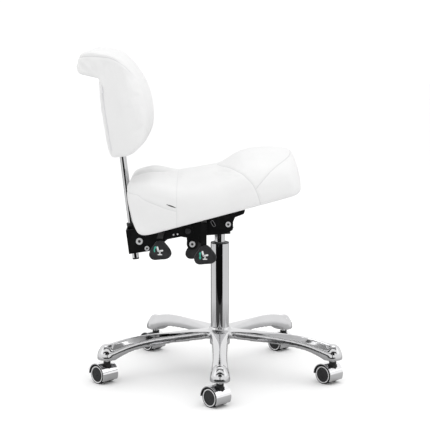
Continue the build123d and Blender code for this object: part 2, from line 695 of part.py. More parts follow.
# ---------------------------------------------------------------- backrest
# Local frame of the bar: origin on its axis a little below the backrest, Z up the bar, X forwards.
BOARD_FRONT = 25.0
BOARD_HALF_WIDTH = 140.0
BOARD_LOW = 40.0
SOCKET_LOW = 40.0                # lower edge of the socket's flange plate
SOCKET_TUBE_LOW = SOCKET_LOW - 8
SOCKET_HIGH = 144.0
BOARD_HIGH = 236.0
SOCKET_PLATE_T = 3.0
BACK_SCREW_PLACES = [(y, z) for y in (-32.0, 32.0) for z in (52.0, 132.0)]
BACK_SCREW_R = 3.0
BAR_SOCKET_R = 12.8


def back_bar():
    """Chrome bar between the box and the backrest."""
    body = cylinder_z(BAR_R, -BAR_RUN - 6, BAR_INSERTION)
    return BAR_FRAME * (body - cylinder_z(BAR_BORE_R, -BAR_RUN - 7, BAR_INSERTION - 6))


def bar_end_plug():
    """Plastic plug in the bar's lower end."""
    body = cylinder_z(BAR_BORE_R, -BAR_RUN - 6, -BAR_RUN + 12)
    body += cylinder_z(BAR_R, -BAR_RUN - 10, -BAR_RUN - 6)
    return BAR_FRAME * body


def bar_socket():
    """Welded socket and flange plate that hold the bar on the back board."""
    back_face = BOARD_FRONT - BACK_BOARD_T
    plate = box_between((back_face - SOCKET_PLATE_T, -45, SOCKET_LOW), (back_face, 45, SOCKET_HIGH))
    body = plate + cylinder_z(BAR_SOCKET_R, SOCKET_TUBE_LOW, BAR_INSERTION + 4)
    body -= cylinder_z(BAR_R, 0, BAR_INSERTION)
    for y, z in BACK_SCREW_PLACES:
        body -= Pos(back_face, y, z) * Rot(0, 90, 0) * Cylinder(BACK_SCREW_R, 20)
    return BAR_FRAME * body


def back_board_solid():
    """Board inside the backrest, in the bar's frame."""
    board = box_between((BOARD_FRONT - BACK_BOARD_T, -BOARD_HALF_WIDTH, BOARD_LOW),
                        (BOARD_FRONT, BOARD_HALF_WIDTH, BOARD_HIGH))
    return fillet(board.edges().filter_by(Axis.X), 30)


def back_board():
    """Plywood board with its screw holes."""
    board = back_board_solid()
    for y, z in BACK_SCREW_PLACES:
        board -= Pos(BOARD_FRONT - BACK_BOARD_T, y, z) * Rot(0, 90, 0) * Cylinder(BACK_SCREW_R, 16)
    return BAR_FRAME * board


def back_screws():
    """Screws that hold the flange plate on the board."""
    back_face = BOARD_FRONT - BACK_BOARD_T
    screws = []
    for y, z in BACK_SCREW_PLACES:
        shank = Pos(back_face, y, z) * Rot(0, 90, 0) * Cylinder(BACK_SCREW_R, 16)
        shank -= box_between((-20, -90, 0), (back_face - SOCKET_PLATE_T, 90, 200))
        head = Pos(back_face - SOCKET_PLATE_T - 1.5, y, z) * Rot(0, 90, 0) * Cylinder(BACK_SCREW_R * 2, 3)
        screws.append(BAR_FRAME * (shank + head))
    return Compound(children=screws)


def back_pocket():
    """Everything that the backrest cushion encloses, with a little room."""
    room = 0.5
    back_face = BOARD_FRONT - BACK_BOARD_T
    pocket = back_board_solid()
    pocket += box_between((back_face - SOCKET_PLATE_T - 4, -45 - room, SOCKET_LOW - room),
                          (back_face, 45 + room, SOCKET_HIGH + room))
    pocket += cylinder_z(BAR_SOCKET_R + room, SOCKET_TUBE_LOW - room, BAR_INSERTION + 4 + room)
    pocket += cylinder_z(BAR_R + room, -30, SOCKET_LOW)
    return BAR_FRAME * pocket


def back_outline():
    """Side outline of the backrest: deep front crown, roll curling backwards at the top."""
    front = Spline([(-335, 885), (-297, 881), (-259, 871), (-229, 845.5), (-205, 810), (-189, 772),
                    (-180.5, 731), (-178, 697), (-188, 651), (-211, 629), (-237, 618), (-250, 617)])
    low = Line((-250, 617), (-274, 616))
    rear = Spline([(-274, 616), (-284.6, 637), (-296.4, 706.5), (-304.5, 765), (-306.5, 805), (-313, 822)])
    under = Spline([(-313, 822), (-334.6, 826), (-354, 832)])
    tip = Spline([(-354, 832), (-360.5, 849), (-354, 874.5), (-335, 885)])
    return [front, low, rear, under, tip]


def back_cushion():
    """Foam backrest with its curled top."""
    side = make_face(Wire(flat_to_side(back_outline())))
    body = Pos(0, BACK_HALF_WIDTH, 0) * extrude(side, amount=2 * BACK_HALF_WIDTH, dir=(0, -1, 0))
    return body - back_pocket()


save(back_bar(), "back_bar")
save(bar_end_plug(), "bar_end_plug")
save(bar_socket(), "bar_socket")
save(back_board(), "back_board")
save(back_screws(), "back_screws")
save(back_cushion(), "back_cushion")


# ---------------------------------------------------------------- levers
def strap(x, y_in, y_out, z, z_end):
    """Flat lever strap: a level run outwards, then a run down to the paddle."""
    side = 1 if y_out > 0 else -1
    half = LEVER_W / 2
    low_y, high_y = sorted((y_in, y_out))
    run = box_between((x - half, low_y, z - LEVER_T / 2), (x + half, high_y, z + LEVER_T / 2))
    drop_y = sorted((y_out - side * LEVER_T, y_out))
    drop = box_between((x - half, drop_y[0], z_end), (x + half, drop_y[1], z + LEVER_T / 2))
    return run + drop


def paddle_outline():
    """Rounded triangle, wide end down, about its own centre."""
    half_w = PADDLE_W / 2
    half_h = PADDLE_H / 2
    points = [
        (-8, half_h + 4), (8, half_h + 4), (16, half_h - 4), (half_w - 2, 2), (half_w, -8),
        (half_w - 9, -half_h + 3), (0, -half_h), (-half_w + 7, -half_h + 1), (-half_w, -10),
        (-half_w + 3, 2), (-16, half_h - 4),
    ]
    return points


def paddle(x, y_face, z, strap_solid):
    """Plastic paddle moulded over the end of a strap."""
    outline = Spline([(px, pz, 0) for px, pz in paddle_outline()], periodic=True)
    flat = make_face(outline)
    body = Rot(90, 0, 0) * Pos(0, 0, -PADDLE_T / 2) * extrude(flat, amount=PADDLE_T)
    return Pos(x, y_face, z) * body - strap_solid


def lift_lever_arm():
    """Lift lever: pad over the release pin, dog-leg inside the channel, strap outside."""
    x = -42.0
    plate = Pos(0, 0, LIFT_PLATE_Z) * Cylinder(9, LEVER_T)
    dog_leg = [(0, 9), (-9, -2), (x - LEVER_W / 2, -38), (x - LEVER_W / 2, -50), (x + LEVER_W / 2, -50),
               (x + LEVER_W / 2, -38), (6, -7)]
    flat = make_face(Polyline(dog_leg, close=True))
    plate += Pos(0, 0, LIFT_PLATE_Z - LEVER_T / 2) * extrude(flat, amount=LEVER_T)
    return plate + strap(x, -45, -PADDLE_Y, LIFT_PLATE_Z, 368)


lift_arm = lift_lever_arm()
save(lift_arm, "lift_lever_arm")
save(paddle(-38.0, -PADDLE_Y + LEVER_T / 2, 356, lift_arm), "lift_lever_paddle")

back_lever = strap(BACK_LEVER_X, -48, -PADDLE_Y, BACK_LEVER_Z, 376)
save(back_lever, "back_lever_arm")
save(paddle(-155.0, -PADDLE_Y + LEVER_T / 2, 368, back_lever), "back_lever_paddle")

SEAT_LEVER_Y = 120.0
seat_lever = strap(-56.0, 46, SEAT_LEVER_Y, 404.5, 330)
save(seat_lever, "seat_lever_arm")
save(paddle(-67.0, SEAT_LEVER_Y - LEVER_T / 2, 321, seat_lever), "seat_lever_paddle")
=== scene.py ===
import json
import math

import bmesh
import bpy
import numpy as np
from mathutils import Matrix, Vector
from mathutils.bvhtree import BVHTree


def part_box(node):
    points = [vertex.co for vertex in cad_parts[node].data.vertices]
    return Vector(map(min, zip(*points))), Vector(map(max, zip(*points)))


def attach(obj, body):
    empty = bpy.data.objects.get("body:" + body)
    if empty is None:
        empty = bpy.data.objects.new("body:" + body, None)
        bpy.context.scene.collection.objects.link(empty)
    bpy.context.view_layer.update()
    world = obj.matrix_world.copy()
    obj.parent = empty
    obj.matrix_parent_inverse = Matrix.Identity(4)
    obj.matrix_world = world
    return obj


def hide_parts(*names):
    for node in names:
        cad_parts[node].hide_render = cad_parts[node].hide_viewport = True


# Looks of the pedicure stool.  X points forwards, Y to the sitter's left, Z up.  The soft parts' fields and
# outlines are in millimetres, which mesh_object() turns into metres.

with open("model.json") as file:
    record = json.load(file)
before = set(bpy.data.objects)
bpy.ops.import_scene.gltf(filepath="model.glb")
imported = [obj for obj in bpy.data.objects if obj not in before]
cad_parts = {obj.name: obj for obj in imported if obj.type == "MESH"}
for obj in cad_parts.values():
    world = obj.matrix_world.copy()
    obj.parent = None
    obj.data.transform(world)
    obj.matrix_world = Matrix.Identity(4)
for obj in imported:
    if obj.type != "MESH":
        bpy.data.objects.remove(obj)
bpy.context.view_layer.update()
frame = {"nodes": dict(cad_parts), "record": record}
NODES = frame["nodes"]
SLOT_OF = {part["node"]: part["material_slot"] for part in frame["record"]["subparts"]}
MM = 0.001
SIDES = (("right", -1), ("left", 1))


# ---------------------------------------------------------------- small helpers
FAR = 1e9


def smoothstep(low, high, value):
    t = np.clip((np.asarray(value, float) - low) / (high - low), 0, 1)
    return t * t * (3 - 2 * t)


def curve(points):
    """Smooth function through (x, y) points: monotone cubic."""
    xs = np.array([p[0] for p in points], float)
    ys = np.array([p[1] for p in points], float)
    step = np.diff(xs)
    slope = np.diff(ys) / step
    tangent = np.zeros(len(xs))
    tangent[0], tangent[-1] = slope[0], slope[-1]
    same = slope[:-1] * slope[1:] > 0
    w1 = 2 * step[1:] + step[:-1]
    w2 = step[1:] + 2 * step[:-1]
    safe0 = np.where(same, slope[:-1], 1)
    safe1 = np.where(same, slope[1:], 1)
    tangent[1:-1] = np.where(same, (w1 + w2) / (w1 / safe0 + w2 / safe1), 0)

    def value(x):
        x = np.clip(x, xs[0], xs[-1])
        i = np.clip(np.searchsorted(xs, x) - 1, 0, len(xs) - 2)
        h = step[i]
        t = (x - xs[i]) / h
        a = ys[i] * (1 + 2 * t) * (1 - t) ** 2 + ys[i + 1] * t * t * (3 - 2 * t)
        return a + h * (tangent[i] * t * (1 - t) ** 2 + tangent[i + 1] * t * t * (t - 1))
    return value


def fillet(d1, d2, radius):
    """Signed distance of two solids' common part, with a rounded edge."""
    outside = np.hypot(np.maximum(d1 + radius, 0), np.maximum(d2 + radius, 0))
    return outside + np.minimum(np.maximum(d1, d2) + radius, 0) - radius


def segment_gap(x, z, start, end):
    """Distance in a plane to a segment, and the place along it: 0 at its start, 1 at its end."""
    (x0, z0), (x1, z1) = start, end
    dx, dz = x1 - x0, z1 - z0
    along = ((x - x0) * dx + (z - z0) * dz) / (dx * dx + dz * dz)
    t = np.clip(along, 0, 1)
    return np.hypot(x - x0 - t * dx, z - z0 - t * dz), along


def polyline_distance(x, z, points):
    """Signed distance in a plane to an open polyline: positive on its left."""
    best = np.full(np.shape(x), FAR)
    side = np.ones(np.shape(x))
    for (x0, z0), (x1, z1) in zip(points[:-1], points[1:]):
        gap, _ = segment_gap(x, z, (x0, z0), (x1, z1))
        cross = (x1 - x0) * (z - z0) - (z1 - z0) * (x - x0)
        nearer = gap < best
        best = np.where(nearer, gap, best)
        side = np.where(nearer, np.where(cross >= 0, 1, -1), side)
    return best * side


def spline_points(points, closed=False, per_span=8):
    """Points of a Catmull-Rom curve through the given ones."""
    p = [np.array(q, float) for q in points]
    n = len(p)
    spans = n if closed else n - 1
    out = []
    for i in range(spans):
        if closed:
            a, b, c, d = p[i - 1], p[i], p[(i + 1) % n], p[(i + 2) % n]
        else:
            a, b, c, d = p[max(i - 1, 0)], p[i], p[i + 1], p[min(i + 2, n - 1)]
        for k in range(per_span):
            t = k / per_span
            out.append(0.5 * (2 * b + (c - a) * t + (2 * a - 5 * b + 4 * c - d) * t * t
                              + (3 * b - a - 3 * c + d) * t ** 3))
    if not closed:
        out.append(p[-1])
    return [tuple(q) for q in out]


def link_object(name, data):
    obj = bpy.data.objects.new(name, data)
    bpy.context.scene.collection.objects.link(obj)
    return obj


def mesh_object(name, verts, faces, scale=MM, smooth=True):
    mesh = bpy.data.meshes.new(name)
    mesh.from_pydata([tuple(v) for v in (np.asarray(verts, float) * scale)], [], [tuple(f) for f in faces])
    mesh.update()
    mesh.polygons.foreach_set("use_smooth", [smooth] * len(mesh.polygons))
    return link_object(name, mesh)


def read_vectors(items, key):
    values = np.zeros(len(items) * 3)
    items.foreach_get(key, values)
    return values.reshape(-1, 3)


def get_verts(obj):
    return read_vectors(obj.data.vertices, "co")


def set_verts(obj, co):
    obj.data.vertices.foreach_set("co", np.asarray(co, float).ravel())
    obj.data.update()


def vertex_normals(obj):
    return read_vectors(obj.data.vertex_normals, "vector")


def bake_modifiers(obj):
    """The object's mesh becomes its own evaluated shape, and its modifiers go."""
    graph = bpy.context.evaluated_depsgraph_get()
    mesh = bpy.data.meshes.new_from_object(obj.evaluated_get(graph))
    obj.modifiers.clear()
    obj.data = mesh


# ---------------------------------------------------------------- closed surface of a sampled field
def surface_nets(values, origin, cell):
    """Vertices and quads where a sampled field crosses zero."""
    inside = values < 0
    shape = np.array(values.shape) - 1
    total = np.zeros(tuple(shape) + (3,))
    count = np.zeros(tuple(shape))
    crossings = []
    for axis in range(3):
        low = [slice(None)] * 3
        high = [slice(None)] * 3
        low[axis] = slice(0, -1)
        high[axis] = slice(1, None)
        v0, v1 = values[tuple(low)], values[tuple(high)]
        cross = inside[tuple(low)] != inside[tuple(high)]
        t = np.where(cross, v0 / np.where(cross, v0 - v1, 1), 0)
        crossings.append((cross, inside[tuple(low)]))
        b, c = (axis + 1) % 3, (axis + 2) % 3
        for db in (0, 1):
            for dc in (0, 1):
                part = [slice(None)] * 3
                part[b] = slice(db, shape[b] + db)
                part[c] = slice(dc, shape[c] + dc)
                hit = cross[tuple(part)]
                total[..., axis] += np.where(hit, t[tuple(part)], 0)
                total[..., b] += np.where(hit, db, 0)
                total[..., c] += np.where(hit, dc, 0)
                count += hit
    active = count > 0
    index = -np.ones(tuple(shape), int)
    index[active] = np.arange(active.sum())
    cells = np.argwhere(active)
    verts = cells + total[active] / count[active][:, None]
    faces = []
    for axis in range(3):
        cross, low_inside = crossings[axis]
        b, c = (axis + 1) % 3, (axis + 2) % 3
        places = np.argwhere(cross)
        within = [(places[:, k] > 0) & (places[:, k] < shape[k]) for k in (b, c)]
        places = places[within[0] & within[1]]
        quads = []
        for db, dc in ((-1, -1), (0, -1), (0, 0), (-1, 0)):
            at = places.copy()
            at[:, b] += db
            at[:, c] += dc
            quads.append(index[at[:, 0], at[:, 1], at[:, 2]])
        quads = np.stack(quads, 1)
        outward = low_inside[places[:, 0], places[:, 1], places[:, 2]]
        quads[~outward] = quads[~outward][:, ::-1]
        faces.append(quads)
    return np.asarray(origin) + verts * cell, np.concatenate(faces)


PROBE = 0.6  # step that measures a field's slope
FLATTEST = 0.2  # squared slope below which a field's step is held back
SETTLE_PASSES = 3


def field_surface(field, low, high, cell):
    """Closed quad mesh of field(points) = 0, pulled onto the exact surface."""
    axes = [np.arange(low[i], high[i] + cell, cell) for i in range(3)]
    grid = np.stack(np.meshgrid(*axes, indexing="ij"), -1)
    values = field(grid)
    verts, faces = surface_nets(values, low, cell)
    for _ in range(SETTLE_PASSES):
        gradient = np.zeros_like(verts)
        for i in range(3):
            step = np.zeros(3)
            step[i] = PROBE
            gradient[:, i] = (field(verts + step) - field(verts - step)) / (2 * PROBE)
        size = np.maximum((gradient ** 2).sum(1), FLATTEST)
        move = -(field(verts) / size)[:, None] * gradient
        verts = verts + np.clip(move, -cell / 2, cell / 2)
    return verts, faces


# ---------------------------------------------------------------- seat
# Its own frame is (s, y, n): s forwards along the underside, which rises to the front, and n square to it.
SEAT_PLANE_Z = 464.3
SEAT_COS, SEAT_SIN = 0.96543, 0.26067


def seat_to_world(p):
    s, y, n = p[..., 0], p[..., 1], p[..., 2]
    return np.stack([SEAT_COS * s - SEAT_SIN * n, y, SEAT_PLANE_Z + SEAT_SIN * s + SEAT_COS * n], -1)


def world_to_seat(p):
    x, z = p[..., 0], p[..., 2] - SEAT_PLANE_Z
    return np.stack([SEAT_COS * x + SEAT_SIN * z, p[..., 1], -SEAT_SIN * x + SEAT_COS * z], -1)


SEAT_CREST = curve([
    (-232, 132), (-212, 139), (-197, 142.5), (-175, 143.5), (-154, 142.5), (-137, 138.5), (-118, 131.5),
    (-96, 125), (-78, 121.5), (-38, 116.3), (-11, 114.3), (22, 111.8), (38, 114.2), (56, 119.3),
    (75, 124.8), (96, 128), (117, 128), (143, 124.3), (170, 118.5), (194, 110), (213, 103), (230, 98)
])
SEAT_POWER = curve([
    (-200, 7), (-150, 6.2), (-60, 4.6), (40, 4.2), (73, 3.4), (97, 3.0), (160, 2.45), (225, 2.3)
])
SEAT_CROWN = curve([
    (-150, 0), (-118, 0.25), (-80, 0.95), (-40, 1), (40, 0.9), (73, 0.6), (97, 0.3), (130, 0)
])
SEAT_WIDTH = curve([(-230, 190), (100, 190), (180, 187), (230, 183)])
SEAT_REAR = curve([
    (-20, 198), (1, 213), (14, 219), (42, 222.5), (80, 221.5), (125, 217.5), (140, 215), (160, 211)
])
SEAT_FRONT = curve([
    (-20, 206), (1, 219), (11, 223), (24, 225), (47, 226), (91, 224), (110, 221), (130, 217)
])
CURVED_SEAM = curve([
    (0, 22), (50, 33), (100, 50), (130, 62), (150, 73), (165, 85.5), (178, 96), (186, 105), (190, 108)
])
CURVED_SEAM_SIDE = curve([
    (-20, 107.5), (2, 108), (17, 108.5), (44, 106), (73, 97.4), (88, 86.5), (102, 73), (112, 55)
])
FRONT_DIAGONAL = curve([
    (100, 38), (111, 48), (135, 64), (155, 76), (178, 85.5), (201, 91.5), (221, 96.5), (235, 98)
])
REAR_SEAM_X = -111.0
CREST_FALL = 8.0  # how far the top falls from its middle at CREST_REACH to the side
CREST_REACH = 100.0
REAR_EDGE_R, REAR_CORNER_R = 16.0, 22.0
FRONT_EDGE_R, FRONT_CORNER_R = 12.0, 16.0
UNDER_EDGE_R = 13.0
NOTCH_EDGE_R = 8.0
FRONT_BOW = 4.0  # how far the front falls back at FRONT_BOW_REACH to the side
FRONT_BOW_REACH = 150.0
LEAST_SLOPE = 1 / 230  # of the dome's field, so that it stays a distance near the middle
GROOVE_DEPTH = 15.0
DIP_HALF = 26.0  # half width of the dip where the groove runs out behind
REAR_DIAGONAL = curve([
    (-240, 523), (-214, 521), (-195, 509), (-176, 500), (-160, 494), (-143, 487), (-110.5, 477.6)
])
GROOVE_HALF = 20.0
BAR_CLEAR_R = 23.0  # notch for the back bar
BAR_TOP = (-258.9, 594.5)
BAR_FOOT = (-228.4, 330.0)
SEAT_CELL = 5.0


def groove_depth(s):
    """Depth of the groove between the two cheeks, s along the seat."""
    return GROOVE_DEPTH * smoothstep(-104, -152, s)


def bar_gap(world):
    """Distance from the back bar's axis."""
    lean = (BAR_FOOT[0] - BAR_TOP[0]) / (BAR_FOOT[1] - BAR_TOP[1])
    return np.hypot(world[..., 0] - BAR_TOP[0] - (world[..., 2] - BAR_TOP[1]) * lean, world[..., 1])


def seat_field(p):
    """The seat cushion: boxy with two cheeks behind, a smooth saddle, and a domed pommel in front."""
    s, y, n = p[..., 0], np.abs(p[..., 1]), p[..., 2]
    height = SEAT_CREST(s) - CREST_FALL * SEAT_CROWN(s) * (y / CREST_REACH) ** 1.6
    height = height - groove_depth(s) * np.exp(-(y / GROOVE_HALF) ** 1.7)
    width = SEAT_WIDTH(s)
    power = SEAT_POWER(s)
    up = np.maximum(n, 0) / height
    out = y / width
    radial = np.maximum(up ** power + out ** power, 1e-9)
    value = radial ** (1 / power)
    slope = value / radial
    grad = np.hypot(slope * up ** (power - 1) / height, slope * out ** (power - 1) / width)
    dome = (value - 1) / np.maximum(grad, LEAST_SLOPE)
    dip = groove_depth(s) * 0.5 * np.exp(-(y / DIP_HALF) ** 2) * smoothstep(60, 120, n)
    rear = -s - SEAT_REAR(n) + dip
    front = s - SEAT_FRONT(n) + FRONT_BOW * (y / FRONT_BOW_REACH) ** 2
    corner = smoothstep(115, 180, y)
    body = fillet(dome, rear, REAR_EDGE_R + REAR_CORNER_R * corner)
    body = fillet(body, front, FRONT_EDGE_R + FRONT_CORNER_R * corner)
    body = fillet(body, -n, UNDER_EDGE_R)
    return fillet(body, BAR_CLEAR_R - bar_gap(seat_to_world(p)), NOTCH_EDGE_R)


def seat_seams(p):
    """(name, signed distance, where it shows) of every seam of the seat, for points in the seat's frame."""
    s, y, n = p[..., 0], np.abs(p[..., 1]), p[..., 2]
    world = seat_to_world(p)
    above = smoothstep(0, 6, n)
    on_side = smoothstep(172, 188, y)
    curved = s - (CURVED_SEAM(y) * (1 - on_side) + CURVED_SEAM_SIDE(n) * on_side)
    curved = curved * (0.9 - 0.25 * smoothstep(60, 110, n) * smoothstep(110, 160, y))
    diagonal = (n - FRONT_DIAGONAL(s)) * 0.86
    ahead = smoothstep(-1, 2, curved)
    rear = world[..., 0] - REAR_SEAM_X
    slant = (world[..., 2] - REAR_DIAGONAL(world[..., 0])) * 0.93
    behind = smoothstep(REAR_SEAM_X + 1, REAR_SEAM_X - 2, world[..., 0])
    centre = p[..., 1]
    groove = smoothstep(-95, -115, s) * smoothstep(60, 66, n)
    return [("seam_curved", curved, above * smoothstep(-40, -20, s)),
            ("seam_diagonal", diagonal, ahead),
            ("seam_rear", rear, above * 0.55),
            ("seam_slant", slant, behind * above * 0.7),
            ("seam_centre", centre, groove)]


CLOTH_PRESSURE = 4.0
CLOTH_FRAMES = 20
SWELL = 0.004  # metres that the padding may swell at most
PIN_WIDTH = 7.0  # a seam holds this much leather on each side of it


def seam_pins(pinned, seams):
    for _, distance, shows in seams:
        pinned = np.maximum(pinned, shows * np.exp(-(distance / PIN_WIDTH) ** 2))
    return pinned


def simulate_padding(obj, pinned):
    """Cloth pressure swells the cushion between its pinned seams, by no more than SWELL at any point."""
    before = get_verts(obj)
    group = obj.vertex_groups.new(name="pin")
    levels = np.round(np.clip(pinned, 0, 1), 1)
    for level in np.unique(levels):
        if level > 0:
            group.add([int(i) for i in np.nonzero(levels == level)[0]], float(level), "REPLACE")
    cloth = obj.modifiers.new("cloth", "CLOTH")
    st = cloth.settings
    st.quality = 5
    st.mass = 0.3
    st.tension_stiffness = 18
    st.compression_stiffness = 14
    st.shear_stiffness = 8
    st.bending_stiffness = 1.2
    st.use_pressure = True
    st.uniform_pressure_force = CLOTH_PRESSURE
    st.effector_weights.gravity = 0
    st.vertex_group_mass = "pin"
    st.pin_stiffness = 2.0
    cloth.collision_settings.use_collision = False
    scene = bpy.context.scene
    for number in range(1, CLOTH_FRAMES + 1):
        scene.frame_set(number)
    graph = bpy.context.evaluated_depsgraph_get()
    move = get_verts(obj.evaluated_get(graph)) - before
    size = np.linalg.norm(move, axis=1)
    limited = SWELL * np.tanh(size / SWELL)
    move *= (limited / np.maximum(size, 1e-9))[:, None]
    obj.modifiers.clear()
    obj.vertex_groups.clear()
    set_verts(obj, before + move)
    scene.frame_set(1)


def add_attribute(obj, name, values):
    """Point attribute: a number, or three numbers, for each vertex."""
    values = np.asarray(values, float)
    kind = "FLOAT" if values.ndim == 1 else "FLOAT_VECTOR"
    attribute = obj.data.attributes.new(name, kind, "POINT")
    attribute.data.foreach_set("value" if values.ndim == 1 else "vector", values.ravel())


def subdivide(obj, levels=1):
    mod = obj.modifiers.new("round", "SUBSURF")
    mod.levels = levels
    mod.render_levels = levels
    bake_modifiers(obj)


def sew(obj, seams, depth=1.5, width=2.6):
    """Presses the seams in and keeps their distances, from which the leather's material paints shade along
    them.
    """
    co = get_verts(obj)
    normal = vertex_normals(obj)
    press = np.zeros(len(co))
    for name, distance, shows in seams:
        press = np.maximum(press, shows * np.exp(-(distance / width) ** 2))
        packed = np.stack([np.clip(distance, -30, 30), shows, np.zeros(len(co))], 1)
        add_attribute(obj, name, packed)
    set_verts(obj, co - normal * (press * depth * MM)[:, None])


def pucker(distance, along, shows, pitch, depth, reach):
    """Small gathers that a seam draws into the leather beside it."""
    wave = np.sin(along * 2 * math.pi / pitch + 1.3 * np.sin(along / 41)) * np.sin(along / 29 + 0.7)
    fall = np.exp(-np.abs(distance) / reach) * (1 - np.exp(-(distance / 3.5) ** 2))
    return shows * fall * wave * depth


# For each seam with gathers: their pitch, their depth and how far they reach.
SEAT_GATHERS = {"seam_curved": (23, 0.5, 14), "seam_rear": (27, 0.35, 12), "seam_slant": (21, 0.35, 10)}


def build_seat():
    verts, faces = field_surface(seat_field, (-240, -206, -12), (240, 206, 152), SEAT_CELL)
    obj = mesh_object("seat_cushion_leather", seat_to_world(verts), faces)
    local = world_to_seat(get_verts(obj) / MM)
    pinned = seam_pins(smoothstep(9, 3, local[:, 2]), seat_seams(local))
    pinned = np.maximum(pinned, smoothstep(48, 34, bar_gap(seat_to_world(local))))
    simulate_padding(obj, pinned)
    subdivide(obj)
    local = world_to_seat(get_verts(obj) / MM)
    seams = seat_seams(local)
    s, y, n = local[:, 0], local[:, 1], local[:, 2]
    along = {"seam_curved": y + n, "seam_rear": y + n, "seam_slant": s + y}
    lift = np.zeros(len(s))
    for name, distance, shows in seams:
        if name in along:
            lift += pucker(distance, along[name], shows, *SEAT_GATHERS[name])
    set_verts(obj, get_verts(obj) + vertex_normals(obj) * (lift * MM)[:, None])
    sew(obj, seams)
    return obj


# ---------------------------------------------------------------- backrest
BACK_HALF = 187.0  # half width
BACK_TAPER = 2.0  # how much of the half width is lost towards the top
BACK_CROWN = 7.0
SWELL_ROOM = 1.3  # left for the padding to swell into
BACK_EDGE_R = 8.0
FRONT_EDGE_MORE_R, HIGH_EDGE_MORE_R, LOW_EDGE_LESS_R = 15.0, 34.0, 9.0
FOLD_DEPTH = 1.5
BACK_FRONT_LINE = [
    (-346, 881.5), (-335, 885), (-318, 884.5), (-297, 881), (-276, 877.5), (-259, 871), (-242.5, 859),
    (-229, 845.5), (-216, 827.5), (-205, 810), (-196, 792), (-189, 772), (-183.5, 751), (-180, 731),
    (-178.5, 713), (-178, 697), (-180.5, 674), (-188.5, 650), (-199, 637), (-211, 629), (-224.5, 622.5),
    (-237, 618), (-250, 617), (-262, 616.5), (-274.4, 616)
]
BACK_REAR_LINE = [
    (-274.4, 616), (-279.5, 623), (-284.6, 637), (-290.6, 666.6), (-296.4, 706.5), (-302.3, 744.6),
    (-304.6, 771.6), (-305.2, 795), (-305.8, 811), (-308.2, 818.4), (-316, 821), (-334.6, 825),
    (-348, 827.8), (-355.5, 829), (-359.6, 834), (-360.8, 849), (-359, 863), (-354, 874.5), (-346, 881.5)
]
BACK_SEAM = [
    (-374, 862), (-366, 867), (-355, 870), (-328, 872.5), (-303, 871), (-278, 868), (-257, 859),
    (-240, 847), (-226, 830), (-214, 808), (-204, 780)
]
BACK_CELL = 5.0
BACK_OUTLINE = spline_points(BACK_FRONT_LINE[:-1] + BACK_REAR_LINE[:-1], closed=True, per_span=3)


def outline_distance(x, z):
    """Signed distance to the backrest's side outline, negative inside."""
    points = BACK_OUTLINE + BACK_OUTLINE[:1]
    best = np.full(np.shape(x), FAR)
    inside = np.zeros(np.shape(x), bool)
    for (x0, z0), (x1, z1) in zip(points[:-1], points[1:]):
        best = np.minimum(best, segment_gap(x, z, (x0, z0), (x1, z1))[0])
        hit = ((z0 > z) != (z1 > z)) & (x < x0 + (z - z0) * (x1 - x0) / ((z1 - z0) or 1e-9))
        inside ^= hit
    return np.where(inside, -best, best)


def back_front_weight(x, z):
    """1 on the deep front crown, 0 on the roll and the rear."""
    return smoothstep(-262, -208, x) * smoothstep(862, 815, z)


def back_field(p):
    x, y, z = p[..., 0], np.abs(p[..., 1]), p[..., 2]
    weight = back_front_weight(x, z)
    off_underside = np.maximum(smoothstep(640, 690, z), smoothstep(-228, -196, x))
    crown = BACK_CROWN * (y / BACK_HALF) ** 2 * smoothstep(-300, -230, x) * off_underside
    body = outline_distance(x, z) + crown + SWELL_ROOM * smoothstep(-262, -215, x)
    side = y - BACK_HALF + BACK_TAPER * smoothstep(840, 890, z)
    high, low = smoothstep(680, 830, z), smoothstep(665, 630, z)
    more = FRONT_EDGE_MORE_R + HIGH_EDGE_MORE_R * high - LOW_EDGE_LESS_R * low
    return fillet(body, side, BACK_EDGE_R + weight * more)


def back_seams(p):
    x, y, z = p[..., 0], np.abs(p[..., 1]), p[..., 2]
    line = polyline_distance(x, z, spline_points(BACK_SEAM))
    fade = smoothstep(-204, -222, x) * smoothstep(150, 172, y)
    rear = polyline_distance(x, z, spline_points(rear_panel_line()))
    low = smoothstep(618, 628, z) * smoothstep(818, 808, z) * smoothstep(BACK_HALF - 6, BACK_HALF - 2, y)
    return [("seam_top", line, fade), ("seam_back", rear, low * 0.6)]


def rear_panel_line(inset=5.0):
    """Line on the side panel just inside its rear edge."""
    return [(x + inset, z) for x, z in BACK_REAR_LINE[1:9]]


def back_wrinkles(p):
    """Soft folds in the side panel: a fan from the roll's tip and slack dents below the top seam.

    Each fold has its start and end (x, z), its width and its height.
    """
    x, y, z = p[..., 0], np.abs(p[..., 1]), p[..., 2]
    on_side = smoothstep(168, 184, y)
    total = np.zeros(np.shape(x))
    folds = [((-375, 866), (-338, 818), 4.0, 1.6), ((-366, 866), (-322, 822), 5.5, -1.1),
             ((-352, 866), (-318, 836), 6.0, 0.9), ((-338, 866), (-306, 822), 7.5, -1.0),
             ((-312, 864), (-300, 800), 8.0, 1.0), ((-292, 862), (-286, 790), 9.0, -0.8),
             ((-268, 850), (-250, 740), 11.0, 0.8), ((-240, 800), (-222, 690), 13.0, -0.9)]
    for start, end, width, height in folds:
        gap, along = segment_gap(x, z, start, end)
        ends = smoothstep(-0.15, 0.2, along) * smoothstep(1.15, 0.7, along)
        total += FOLD_DEPTH * height * np.exp(-(gap / width) ** 2) * ends
    return total * on_side


